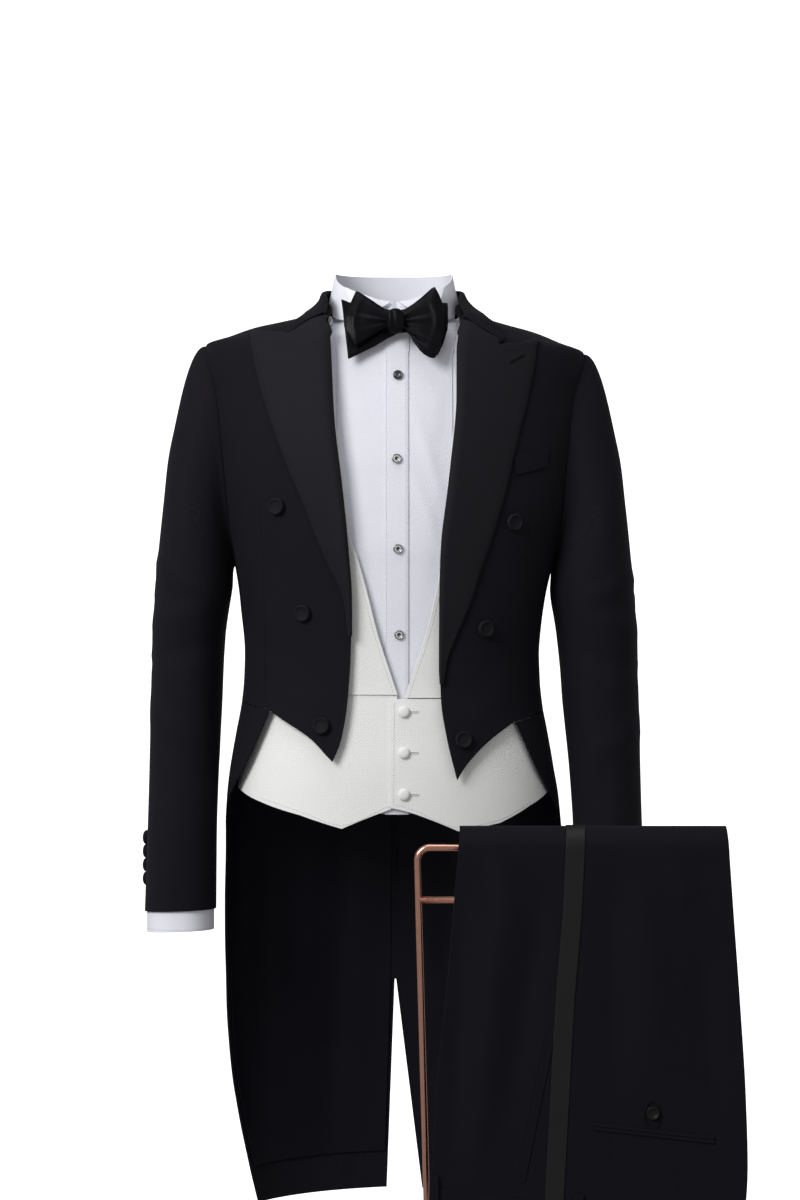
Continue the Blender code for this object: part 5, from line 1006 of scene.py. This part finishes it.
# Sleeves: a top and an under sleeve each, set into the armhole with a little fullness at the cap. Soft folds run
# across at the elbow. A shirt cuff shows below the hem, and four covered buttons close the vent.
SLEEVE = ((-0.33, 0.2835, 0.1925, -0.072, 0.078), (-0.392, 0.2872, 0.2013, -0.071, 0.073),
    (-0.47, 0.2885, 0.2045, -0.07, 0.062), (-0.558, 0.29, 0.2084, -0.071, 0.046),
    (-0.62, 0.2915, 0.21, -0.073, 0.037), (-0.7092, 0.2945, 0.2105, -0.072, 0.029))
SLEEVE_ROWS = 7 * FINE
CAP_ROWS = 5 * FINE
CAP_OUT = 0.065  # the cap leaves the armhole sideways by this share of its drop, and a little more
CAP_RIDGE = 0.004
CAP_DOWN = (-0.04, 0, 0.51)  # and joins the arm from this far up, as shares of its drop
ARMHOLE_OUT = 0.0019  # the sleeve starts this far outside the body of the coat
CUFF_TOP = -0.655
CUFF_END = -0.7335
CUFF_GAP = 0.0006
CUFF_BUTTON_HEIGHTS = (-0.627, -0.6432, -0.6594, -0.6756)
CUFF_BUTTON = (COVERED, 0.00918, 0.0085)  # profile, radius, height
CUFF_BUTTON_OUT = 0.0022  # how far it stands off the sleeve
CUFF_BUTTON_Y = 0.012
SLEEVE_HEM_TILT = 0.003  # the inner and front parts of the hem are this much higher
SLEEVE_SEAM_TURN = 0.05
INNER_FULLNESS = ((-0.6, -0.534, -0.463, -0.43, -0.392, -0.345, -0.31, -0.285, -0.255),  # of the sleeve at +X: height
                  (0, 0.0026, 0.0066, 0.0075, 0.0094, 0.01, 0.0064, 0.003, 0))  # and how far in it stands
SLEEVE_CREASES = {
    -1: ((-285, -300, -212, -345, 9, 3.3, -1), (-282, -372, -210, -352, 9, 3, -1),
        (-288, -415, -215, -395, 11, -3, -1), (-270, -140, -235, -300, 14, 2.1, -1),
        (-286, -470, -225, -520, 13, 2.7, -1), (-255, -540, -262, -690, 14, 2.1, -1),
        (-285, -330, -215, -372, 10, 3.3, 1), (-285, -410, -215, -395, 10, 3, 1)),
    1: ((285, -315, 215, -350, 9, 3.3, -1), (285, -380, 212, -365, 10, 2.7, -1), (288, -430, 218, -402, 11, -3, -1),
        (268, -150, 236, -300, 14, 2.1, -1), (288, -490, 228, -530, 13, 2.7, -1), (252, -560, 262, -690, 14, 2.1, -1),
        (285, -340, 215, -380, 10, 3.3, 1), (285, -420, 215, -400, 10, 3, 1)),
}


def sleeve_ring(angle, height, inside):
    """Places round the sleeve at these heights, this far inside its outer face."""
    outer, inner, front, back = np.moveaxis(through(SLEEVE, -1)(-height), -1, 0)
    cosine, sine = np.cos(angle), np.sin(angle)
    power = 2 / SQUARENESS
    x = (outer + inner) / 2 + ((outer - inner) / 2 - inside) * np.sign(cosine) * np.abs(cosine) ** power
    y = (front + back) / 2 - ((back - front) / 2 - inside) * np.sign(sine) * np.abs(sine) ** power
    low = np.clip((SLEEVE[-2][0] - height) / (SLEEVE[-2][0] - SLEEVE[-1][0]), 0, 1)
    tilt = SLEEVE_HEM_TILT * low * (sine - cosine) / 2
    return np.stack([x, y, height + tilt], axis=-1)


def sleeve_points(degrees_round):
    """The inner face of a stretch of sleeve, from the armhole to its hem."""
    angle = np.radians(degrees_round)
    start = on_form(armhole(degrees_round), -ARMHOLE_OUT)
    end = sleeve_ring(angle, np.full(len(angle), SLEEVE[0][0]), COAT_WALL)
    drop = (start - end)[:, 2:]
    lean_out = start + (CAP_OUT * drop + CAP_RIDGE) * [1, 0, 0]
    lean_down = end + drop * CAP_DOWN
    rows = []
    for t in np.linspace(0, 1, CAP_ROWS + 1):
        shares = (1 - t) ** 3, 3 * t * (1 - t) ** 2, 3 * t * t * (1 - t), t ** 3
        rows.append(sum(share * place for share, place in zip(shares, (start, lean_out, lean_down, end))))
    for height in np.linspace(SLEEVE[0][0], SLEEVE[-1][0], SLEEVE_ROWS + 1)[1:]:
        rows.append(sleeve_ring(angle, np.full(len(angle), height), COAT_WALL))
    return np.array(rows)


for side, name in SIDES.items():
    heart = (side * (SLEEVE[2][1] + SLEEVE[2][2]) / 2, 0)
    for part, first, last in (("top", BACK_SEAM_ARM, 360 + FRONT_SEAM_ARM), ("under", FRONT_SEAM_ARM, BACK_SEAM_ARM)):
        stretch = np.arange(first, last + 1, ARM_STEP).astype(float)
        stretch[0] += SLEEVE_SEAM_TURN
        stretch[-1] -= SLEEVE_SEAM_TURN
        seam = on_form(armhole(stretch), -0.0001)[None]  # the sleeve's edge turns in to the coat at the armhole
        points = flip(np.concatenate([seam, sleeve_points(stretch)]), side)
        if side > 0:
            inner = np.interp(points[..., 0], (0.202, 0.288), (1, 0))
            points[..., 0] -= inner * np.interp(points[..., 2], *INNER_FULLNESS)
        sleeve = cloth(f"coat_{part}_sleeve_{name}", points, COAT_WALL, worsted, heart=heart,
            creases=SLEEVE_CREASES[side])
        if part == "top":
            seats = seat(sleeve, [(side * 1, CUFF_BUTTON_Y, height) for height in CUFF_BUTTON_HEIGHTS], (-side, 0, 0))
    around = np.radians(np.arange(0, 360, ARM_STEP))
    inside = COAT_WALL + CUFF_GAP + SHIRT_WALL
    cuff = np.array([sleeve_ring(around, np.full(len(around), z), inside) for z in np.linspace(CUFF_TOP, CUFF_END, 24)])
    cuff = cloth(f"shirt_cuff_{name}", flip(cuff, side), SHIRT_WALL, shirting, heart=heart, ring=True)
    row = [(side * 0.2165, CUFF_END + 0.0045), (side * 0.29, CUFF_END + 0.0035)]
    sewn(f"cuff_stitches_{name}", cuff, row, 60, (0.0026, 0.0018, 0.0002), thread)
    for number, (place, normal) in enumerate(seats, 1):
        turned(f"cuff_button_{name}_{number}", *CUFF_BUTTON, place + normal * CUFF_BUTTON_OUT, normal, worsted,
            nodes=[f"cuff_buttons_{name}"] if number == 1 else ())

# Collar and lapels: the collar stands at the neck and falls over the shoulders to the notch; the peaked lapels roll
# off the front edge, faced in smooth cloth. A worked buttonhole crosses the one at +X, above the breast pocket welt.
LAPEL_WALL = 0.0016
LAPEL_EDGE = {
    -1: mm((167.2, -33.5), (165, -51), (153.1, -103), (138.1, -149), (120.8, -195), (103.5, -235.5), (80.5, -293),
        (57.4, -345), (52, -386.5)),
    1: mm((164.5, -36.5), (160.5, -66), (151.3, -112.1), (140.9, -152.5), (128.8, -206.6), (110.9, -272.4),
        (97.1, -312.7), (84.4, -351.9), (68.8, -387.7), (59, -414.2), (54.5, -441.8)),
}
LAPEL_NOTCH = {-1: (0.1225, -0.0385), 1: (0.1195, -0.0465)}
LAPEL_THROAT = {-1: (0.0765, -0.016), 1: (0.076, -0.021)}
LAPEL_STEPS = 13
LAPEL_BUNCH = 1.25
LAPEL_LIFT = 0.0028  # the lapel's inner face above the front, at its outer edge
LAPEL_ROLL_LIFT = 0.0045  # and at the roll
LAPEL_ROLL_DIP = (0.0032, 0.09)  # lower by this much at the very roll, over this share of the width
LAPEL_EDGE_DIP = (0.0012, 0.07)  # and at the very edge
LAPEL_END_WIDTH = 0.0017
COLLAR = ((180, 0.0045, 0.0215, 180, -0.017), (148, 0.0045, 0.021, 150, -0.016), (118, 0.0045, 0.018, 120, -0.011),
    (90, 0.0045, 0.0145, 91, -0.006), (62, 0.001, 0.0095, 56, -0.0125), (47, -0.007, 0.006, 38, -0.0248))
COLLAR_END_STAND = 0.003
COLLAR_STEPS = 9 * FINE
COLLAR_LIFT = 0.002  # the finished collar lies close on the coat and the lapels
COLLAR_LEANS = {-1: -0.05, 1: 0.26}  # of its height, inwards, at the sides of the neck
COLLAR_LEAN_BEHIND = (0.5, 0.52, 0.3)  # just behind the sides, further round, and at the middle of the back
COLLAR_LEAN_TURNS = (64, 86, 135, 165)
COLLAR_FOLD = 0.003
COLLAR_LEAF = (0.35, 0.68)  # shares of the way over the form from seam to outer edge
COLLAR_LEAF_FALL = 1.3  # how quickly the leaf falls from the fold to the coat
GORGE_GAP = 0.001
COLLAR_WALL_CLEAR = 0.0014
WELT = ((0.14, -0.201), (0.177, -0.19), (0.1775, -0.169), (0.1365, -0.179))
WELT_WALL = 0.0012
LAPEL_HOLE = ((0.1335, -0.0704), (0.1497, -0.0611))
lapel_cloth = woven("lapel_facing", (0.0064, 0.0058, 0.008), (0.0112, 0.0104, 0.0138), 0.68, 0.012,
    "twill", 0.0009, 0.00006, 0.1)


def collar_rows(side):
    """Rows of the collar from the middle of the back to the gorge, each from its seam to its outer edge."""
    throat, notch = (turns([place])[0] for place in (LAPEL_THROAT[side], LAPEL_NOTCH[side]))
    table = np.array([*COLLAR, (*throat, COLLAR_END_STAND, *notch)])
    places = spline(np.arange(len(table)), table)(np.linspace(0, len(table) - 1, COLLAR_STEPS + 1))
    foot = on_form(places[:, 0:2], -COLLAR_WALL_CLEAR)
    edge = on_form(places[:, 3:5], -COLLAR_LIFT)
    out = (edge - foot) * [1, 1, 0]
    out = out / np.linalg.norm(out, axis=1, keepdims=True)
    lean = np.interp(places[:, 0], COLLAR_LEAN_TURNS, (COLLAR_LEANS[side], *COLLAR_LEAN_BEHIND))[:, None]
    rise = places[:, 2:3] * ([0, 0, 1] - lean * out)
    crest_line = foot + rise
    fold = crest_line + COLLAR_FOLD * out - [0, 0, 0.0006]
    leaf = []
    for share in COLLAR_LEAF:
        line = places[:, 0:2] * (1 - share) + places[:, 3:5] * share
        leaf.append(on_form(line, -COLLAR_LIFT) + (1 - share) ** COLLAR_LEAF_FALL * rise)
    return np.stack([foot, crest_line, fold, *leaf, edge], axis=1)


right = flip(collar_rows(1), 1)
left = flip(collar_rows(-1), -1)
right[-1, :, 2] += GORGE_GAP
left[-1, :, 2] += GORGE_GAP
points = np.concatenate([left[::-1], right[1:]]) + [0, 0, COLLAR_WALL_CLEAR]
profile = np.moveaxis(points, 1, 0).reshape(points.shape[1], -1)
close = spline(np.arange(points.shape[1]), profile)(np.linspace(0, points.shape[1] - 1, 31))
points = np.moveaxis(close.reshape(31, points.shape[0], 3), 0, 1)
cloth("coat_collar", eased(points), COAT_WALL, worsted, grow=0)

for side, name in SIDES.items():
    throat, notch = (turns([place])[0] for place in (LAPEL_THROAT[side], LAPEL_NOTCH[side]))
    edge = turns(LAPEL_EDGE[side])
    top = np.vstack([samples([throat, notch], 2 * FINE), samples([notch, edge[0]], 2 * FINE)[1:]])
    right = samples(edge, LAPEL_STEPS * FINE, bunch=LAPEL_BUNCH)
    roll_rows = [row for row in FRONT_EDGE[side] if LAPEL_EDGE[side][-1][1] < row[1] < LAPEL_THROAT[side][1]]
    roll_end = LAPEL_EDGE[side][-1] - [LAPEL_END_WIDTH, 0]
    left = samples(turns([LAPEL_THROAT[side], *roll_rows, roll_end]), LAPEL_STEPS * FINE, bunch=LAPEL_BUNCH)
    bottom = samples([left[-1], right[-1]], 4 * FINE)
    points = fill(top, bottom, left, right)
    points[0, :, 2] -= GORGE_GAP / 2
    over = np.linspace(0, 1, 4 * FINE + 1)[None, :]
    lift = LAPEL_LIFT + (LAPEL_ROLL_LIFT - LAPEL_LIFT) * (1 - over) ** 2
    for (deep, share), away in ((LAPEL_ROLL_DIP, over), (LAPEL_EDGE_DIP, 1 - over)):
        lift = lift - deep * np.clip(1 - away / share, 0, 1) ** 2
    points = points + (moved(points, 1) - points) * lift[..., None]
    lapel = cloth(f"lapel_{name}", eased(flip(points, side)), LAPEL_WALL, lapel_cloth, held="folded")
    edge = [(side * (x - 0.0035), z - 0.001) for x, z in LAPEL_EDGE[side][:-2]]
    sewn(f"lapel_edge_stitches_{name}", lapel, edge, 90, (0.004, 0.0014, 0.0002), black_thread, 0.0001, "black_satin")
buttonhole("lapel_buttonhole", lapel, *LAPEL_HOLE, black_thread, "black_satin")


def laid_on(obj, corners, columns, rows, clear):
    """A grid laid on a piece between four corners, given by distance across and height."""
    low_in, low_out, high_out, high_in = (np.array(corner) for corner in corners)
    u = np.linspace(0, 1, columns + 1)[:, None]
    lines = [(1 - v) * ((1 - u) * high_in + u * high_out) + v * ((1 - u) * low_in + u * low_out)
        for v in np.linspace(0, 1, rows + 1)]
    return np.array(surface_line(obj, np.concatenate(lines), clear)).reshape(rows + 1, columns + 1, 3)


welt = cloth("breast_pocket_welt", laid_on(coat_fronts[1], WELT, 18, 8, 2 * SEAM), WELT_WALL, worsted, held="laid")
corners = np.array(WELT)
inner = corners + (corners.mean(axis=0) - corners) * 0.09
sewn("welt_stitches", welt, [inner[3], inner[0]], 12, (0.0022, 0.0014, 0.0002), black_thread)

# Front buttons: three on each front, domed moulds covered in the coat's cloth, with the cloth drawn in behind.
COAT_BUTTONS = {-1: mm((135.5, -237), (105.6, -360), (83.7, -490)), 1: mm((137.1, -255), (103.8, -378), (78.5, -506))}
COAT_BUTTON = (COVERED, 0.01, 0.0065)
for side, name in SIDES.items():
    for number, (x, z) in enumerate(COAT_BUTTONS[side], 1):
        button = f"coat_button_{name}_{number}"
        fixed(button, coat_fronts[side], side * x, z, COAT_BUTTON, lapel_cloth, slot="black_wool")

# Trousers: both legs hang folded over the rod, upside down, so the waistband is at the bottom in front. The outer
# leg shows its two panels, the satin braid on the side seam, the slant pocket, darts and a jetted back pocket.
TROUSER_WALL = 0.0016
RACK_Y = -0.3
RACK_TOP = -0.617
TROUSER_FRONT = mm((0, 71.5, 198.5, 363.8), (80, 64.9, 194.5, 370), (180, 56.2, 186.2, 378),
    (260, 47.5, 181.5, 383.5), (330, 43.1, 177.5, 385.7), (440, 37, 171.5, 375))
TROUSER_BEHIND = mm((0, 71.5, 198.5, 363.8), (200, 80, 201, 350), (400, 92, 204, 330), (620, 102, 206, 318))
TROUSER_OUT = 0.0225  # from the middle of the bar to the inner face of the outer layer
TROUSER_MIDDLE_X = 0.2
LEG_OUT = 0.0043  # and to that of the other leg, which lies on the bar
INNER_LAYERS = ((0.0072, 0.0122, 0.004), (0.014, 0.0195, 0.006))  # from, to, inset of the edges
SEAM_FALL = 0.392  # from the fold to the waistband seam, at the left edge
SEAM_FALL_TILT = 0.13  # it drops by this much for each metre to the right
WAISTBAND_DEEP = 0.038
WAISTBAND_WALL = 0.0026
BELT_LOOPS = (0.043, 0.201)
BELT_LOOP_WIDTH = 0.01
BELT_LOOP_RISE = 0.014
BELT_LOOP_FALL = 0.0342  # below the seam
BELT_LOOP_BOW = 0.001
BRAID_WIDTH = 0.0205
BRAID_WALL = 0.0008
POCKET_WELT = ((0.2166, -0.9156), (0.3497, -0.9309))  # upper corners: x, height
POCKET_WELT_DEEP = 0.0076
POCKET_BUTTON = (0.282, -0.9047)
LEG_ROWS = [("front", share) for share in np.linspace(1, 0.075, 48)]  # upwards, over the bar and down behind
LEG_ROWS += [("fold", turn) for turn in np.linspace(-90, 90, 19)]
LEG_ROWS += [("behind", fall) for fall in np.linspace(0.03, 0.62, 52)]
LEG_CREASES = ((120, -640, 90, -980, 16, 4.8, -1), (75, -660, 62, -970, 12, -3.4, -1),
    (160, -660, 128, -900, 15, -4.1, -1), (270, -640, 290, -880, 20, 5.1, -1), (330, -650, 350, -930, 18, -4.8, -1),
    (235, -660, 240, -900, 16, -3.7, -1), (300, -620, 345, -740, 14, 3.4, -1), (105, -620, 140, -720, 13, 3.1, -1),
    (130, -640, 140, -1200, 18, 4.4, 1), (260, -640, 270, -1180, 18, 4.4, 1), (195, -660, 205, -1100, 14, -3.7, 1),
    (310, -660, 300, -1150, 13, -3.7, 1))
trousering = woven("trouser_worsted", (0.0031, 0.0028, 0.0044), (0.007, 0.0064, 0.0096), 0.78, 0.012,
    "twill", 0.0011, 0.0001, 0.08)
braid_silk = woven("braid_silk", (0.0055, 0.0055, 0.006), (0.011, 0.011, 0.0118), 0.42, 0, "satin",
    0.0012, 0.00008, 0.2)


def seam_fall(x):
    """How far below the fold the waistband seam lies at this x."""
    return SEAM_FALL + SEAM_FALL_TILT * (x - TROUSER_FRONT[-1][1])


def leg_edges(kind, value):
    """Left edge, braid and right edge of the leg at one of its rows."""
    table = TROUSER_BEHIND if kind == "behind" or (kind == "fold" and value > 0) else TROUSER_FRONT
    fall = {"front": value * SEAM_FALL, "fold": TROUSER_OUT * (1 - np.cos(radians(value))), "behind": value}[kind]
    return through(table)(fall)


def leg_place(x, kind, value, out, below=0):
    """A place on the layer this far from the bar. In front, the row is a share of the way to the waistband seam."""
    if kind == "fold":
        return (x, RACK_Y + out * np.sin(radians(value)), RACK_TOP + out * np.cos(radians(value)))
    fold = RACK_TOP + TROUSER_OUT
    if kind == "behind":
        return (x, RACK_Y + out, fold - value)
    return (x, RACK_Y - out, fold - value * seam_fall(x) - below)


def over_bar(name, rows, wall, finish, nodes=None, **kept):
    """A piece of cloth that hangs folded over the bar."""
    return cloth(name, np.array(rows), wall, finish, nodes, heart=(TROUSER_MIDDLE_X, RACK_Y), held="folded", **kept)


def leg_piece(name, share_from, share_to, out, columns, inset=0, creases=LEG_CREASES):
    """A layer of the leg between two shares of its width: 0 left edge, 1 braid, 2 right edge."""
    rows = []
    for kind, value in LEG_ROWS:
        left, braid, right = leg_edges(kind, value)
        shares = np.linspace(share_from, share_to, columns + 1)
        line = np.interp(shares, [0, 1, 2], [left + inset, braid, right - inset])
        line += SEAM / 2 * (shares == 1) * (1 if share_from == 1 else -1 if share_to == 1 else 0)
        rows.append([leg_place(x, kind, value, out) for x in line])
    return over_bar(name, rows, TROUSER_WALL, trousering, creases=creases)


front_panel = leg_piece("trouser_front_panel", 0, 1, TROUSER_OUT, 26)
back_panel = leg_piece("trouser_back_panel", 1, 2, TROUSER_OUT, 34)
leg_piece("trouser_other_leg", 0, 2, LEG_OUT, 40, inset=0.004, creases=())
around = np.linspace(0, 2 * pi, 72, endpoint=False)
for number, (out_in, out_out, inset) in enumerate(INNER_LAYERS, 1):
    rings = []
    for kind, value in LEG_ROWS:
        left, _, right = leg_edges(kind, value)
        share = (1 - np.cos(around)) / 2
        line = (left + inset) * (1 - share) + (right - inset) * share
        bulge = np.sign(np.sin(around)) * np.abs(np.sin(around)) ** 0.35
        outs = (out_in + out_out) / 2 + (out_out - out_in) / 2 * bulge
        short = 0.995 if kind == "front" else 1
        rings.append([leg_place(x, kind, value * short, out) for x, out in zip(line, outs)])
    over_bar(f"trouser_inner_layer_{number}", rings, 0.0006, trousering,
        ["trouser_inner_layers"] if number == 1 else (), ring=True, grow=-1)

left, _, right = leg_edges("front", 1)
grid = [[leg_place(x, "front", 1, TROUSER_OUT, deep) for x in np.linspace(left, right, 60)]
    for deep in np.linspace(-SEAM, WAISTBAND_DEEP, 12)]
over_bar("trouser_waistband", grid, WAISTBAND_WALL, trousering)
for number, x in enumerate(BELT_LOOPS, 1):
    high = RACK_TOP + TROUSER_OUT - seam_fall(x) + BELT_LOOP_RISE
    low = high - BELT_LOOP_RISE - BELT_LOOP_FALL
    near = RACK_Y - TROUSER_OUT - WAISTBAND_WALL - SEAM
    across = np.linspace(-BELT_LOOP_WIDTH / 2, BELT_LOOP_WIDTH / 2, 7)
    grid = [[(x + step, near - BELT_LOOP_BOW * np.sin(pi * v) ** 0.5, high + (low - high) * v) for step in across]
        for v in np.linspace(0, 1, 24)]
    over_bar(f"belt_loop_{number}", grid, TROUSER_WALL, trousering, ())

rows = []
for kind, value in LEG_ROWS:
    braid = leg_edges(kind, value)[1]
    line = np.linspace(braid - BRAID_WIDTH / 2, braid + BRAID_WIDTH / 2, 9)
    rows.append([leg_place(x, kind, value, TROUSER_OUT + TROUSER_WALL + SEAM) for x in line])
over_bar("trouser_braid", rows, BRAID_WALL, braid_silk, creases=LEG_CREASES)

(x1, z1), (x2, z2) = POCKET_WELT
half_deep = POCKET_WELT_DEEP / 2
for number, (drop, nodes) in enumerate(((0, ["back_pocket_welt"]), (half_deep + SEAM, ())), 1):
    low = drop + half_deep - SEAM
    corners = (x1, z1 - low), (x2, z2 - low), (x2, z2 - drop), (x1, z1 - drop)
    cloth(f"back_pocket_jet_{number}", laid_on(back_panel, corners, 40, 3, SEAM), 0.0012, trousering, nodes,
        heart=(POCKET_BUTTON[0], RACK_Y), held="laid")
pocket_edge = ((0.1385, -0.98), (0.1425, -0.98), (0.1765, -0.8125), (0.1725, -0.8109))
cloth("slant_pocket_edge", laid_on(front_panel, pocket_edge, 4, 60, 0.0001), 0.0009, trousering, (),
    heart=(TROUSER_MIDDLE_X, RACK_Y), held="laid")
TROUSER_SEAMS = ((front_panel, (0.1655, -0.815), (0.1325, -0.98)), (back_panel, (0.235, -0.926), (0.235, -0.99)),
                 (back_panel, (0.313, -0.936), (0.308, -1)))  # the slant pocket and two darts
for number, (panel, *row) in enumerate(TROUSER_SEAMS, 1):
    sewn(f"trouser_seam_{number}", panel, row, 50, (0.002, 0.0017, 0.00028), black_thread, 0)
FOUR_HOLE = ((0, 0.45), (0.42, 0.47), (0.6, 0.6), (0.78, 0.95), (0.92, 1), (1, 0.72), (0.98, 0.3), (0.8, 0.04),
    (0, 0))
horn = polished("black_horn", (0.008, 0.0075, 0.007), 0.45, 0, 260, 0.00005, gloss=0.15)
fixed("back_pocket_button", back_panel, *POCKET_BUTTON, (FOUR_HOLE, 0.0074, 0.004), horn)
POCKET_LOOP = (0.0085, 0.016)  # half width, half length
loop = [(POCKET_BUTTON[0] + POCKET_LOOP[0] * np.sin(a), POCKET_BUTTON[1] - 0.003 + POCKET_LOOP[1] * np.cos(a))
    for a in np.linspace(-2.6, 2.6, 40)]
stitch_run("pocket_loop", surface_line(back_panel, loop, 0.0006), 0.0006, 0.0009, 0.0006, black_thread)

# Trouser rack: one bent rod of copper-plated steel with a welded cross bar on two flat feet. The plating is
# smooth, with faint drawing marks.
ROD_RADIUS = 0.0037
RACK_BOTTOM = -1.5
RACK_LEFT = 0.025
RACK_RIGHT = 0.344
RACK_LEAN = 0.024  # each post's foot stands this much further in
RACK_CORNER = 0.014
RACK_CROSS_BAR = -0.6745
FOOT_LENGTH = 0.26
FOOT_WIDTH = 0.022
FOOT_THICK = 0.006
copper = polished("rack_copper", (0.7, 0.36, 0.27), 0.24, 1, 160, 0.00004)


def rod_mesh(name, route):
    """A round rod along a route."""
    curve = bpy.data.curves.new(name, "CURVE")
    curve.dimensions = "3D"
    line = curve.splines.new("POLY")
    line.points.add(len(route) - 1)
    for point, place in zip(line.points, route):
        point.co = (*place, 1)
    curve.bevel_depth = ROD_RADIUS
    curve.bevel_resolution = 6
    curve.use_fill_caps = True
    guide = linked(name + "_curve", curve)
    bpy.context.view_layer.update()
    mesh = bpy.data.meshes.new_from_object(guide.evaluated_get(bpy.context.evaluated_depsgraph_get()))
    bpy.data.objects.remove(guide)
    return mesh


posts = [(x, RACK_Y, RACK_BOTTOM + FOOT_THICK / 2) for x in (RACK_LEFT + RACK_LEAN, RACK_RIGHT - RACK_LEAN)]
corner = [(RACK_CORNER * (1 - np.cos(a)), RACK_TOP - RACK_CORNER * (1 - np.sin(a))) for a in np.linspace(0, pi / 2, 14)]
route = [posts[0], *[(RACK_LEFT + x, RACK_Y, z) for x, z in corner],
    *[(RACK_RIGHT - x, RACK_Y, z) for x, z in corner[::-1]], posts[1]]
inset = RACK_LEAN * (RACK_TOP - RACK_CORNER - RACK_CROSS_BAR) / (RACK_TOP - RACK_CORNER - RACK_BOTTOM)
cross_bar = [(x, RACK_Y, RACK_CROSS_BAR) for x in (RACK_LEFT + inset, RACK_RIGHT - inset)]
shape = bmesh.new()
for mesh in (rod_mesh("rack_frame", route), rod_mesh("rack_bar", cross_bar)):
    shape.from_mesh(mesh)
bmesh.ops.remove_doubles(shape, verts=shape.verts, dist=1e-6)
for place in posts:
    made = bmesh.ops.create_cube(shape, size=1)["verts"]
    bmesh.ops.scale(shape, vec=(FOOT_WIDTH, FOOT_LENGTH, FOOT_THICK), verts=made)
    bmesh.ops.translate(shape, vec=Vector(place), verts=made)
    edges = list({edge for vert in made for edge in vert.link_edges})
    bmesh.ops.bevel(shape, geom=edges, offset=0.0018, segments=4, affect="EDGES", profile=0.5)
piece("trouser_rack_metal", shape, [copper], ["trouser_rack"])

# Floor, light and camera: a round pale seamless sweep that closes overhead, broad soft lights as in a studio, and the
# camera level with the waistcoat, straight in front.
FLOOR_Z = -1.5005
FLOOR_RADIUS = 7
SWEEP_TURN = 1.5  # radius of the curve from the floor into the wall
AROUND = 48
curve = [(FLOOR_RADIUS + SWEEP_TURN * np.sin(a), FLOOR_Z + SWEEP_TURN * (1 - np.cos(a)))
    for a in np.linspace(0, pi / 2, 10)]
profile = [(0.01, FLOOR_Z), *curve, (FLOOR_RADIUS + SWEEP_TURN, 5), (0.01, 9)]
around = np.linspace(0, 2 * pi, AROUND, endpoint=False)
points = [(r * np.cos(a), r * np.sin(a), z) for r, z in profile for a in around]
rings = np.arange(len(points)).reshape(-1, AROUND)
faces = [(above[k], below[k], below[(k + 1) % AROUND], above[(k + 1) % AROUND])
    for above, below in zip(rings, rings[1:]) for k in range(AROUND)]
mesh = bpy.data.meshes.new("sweep")
mesh.from_pydata(points, [], [*faces, rings[0], rings[-1][::-1]])
mesh.shade_smooth()
paper, _, shader = blank("sweep_paper")
fed(shader, {"Base Color": (0.9, 0.9, 0.9, 1), "Roughness": 0.9, "Emission Color": (1, 1, 1, 1),
    "Emission Strength": 1})
mesh.materials.append(paper)
sweep = linked("sweep", mesh)
sweep.visible_diffuse = sweep.visible_glossy = sweep.visible_shadow = False

LIGHTS = (  # name, place, size, power, aim
    ("key", (-2.6, -3, 1.7), 2, 150, (0, 0, -0.3)),
    ("fill", (2.8, -3.2, 0.6), 2.4, 9, (0, 0, -0.4)),
    ("overhead", (-0.3, -0.8, 3), 2, 30, (0, 0, -0.3)),
)
for name, place, size, power, aim in LIGHTS:
    lamp = bpy.data.lights.new(name, "AREA")
    lamp.size = size
    lamp.energy = power
    obj = linked(name, lamp)
    obj.location = place
    obj.rotation_euler = (Vector(aim) - Vector(place)).to_track_quat("-Z", "Y").to_euler()

world = bpy.data.worlds.new("studio")
bpy.context.scene.world = world
world.use_nodes = True
fed(world.node_tree.nodes["Background"], {"Color": (1, 1, 1, 1), "Strength": 0.34})
bpy.context.scene.view_settings.view_transform = "Standard"

lens = bpy.data.cameras.new("camera")
lens.lens = 104.34
lens.sensor_width = 36
camera = linked("camera", lens)
camera.location = (0.006, -4.12, -0.345)
camera.rotation_euler = (radians(90), 0, 0)
bpy.context.scene.camera = camera
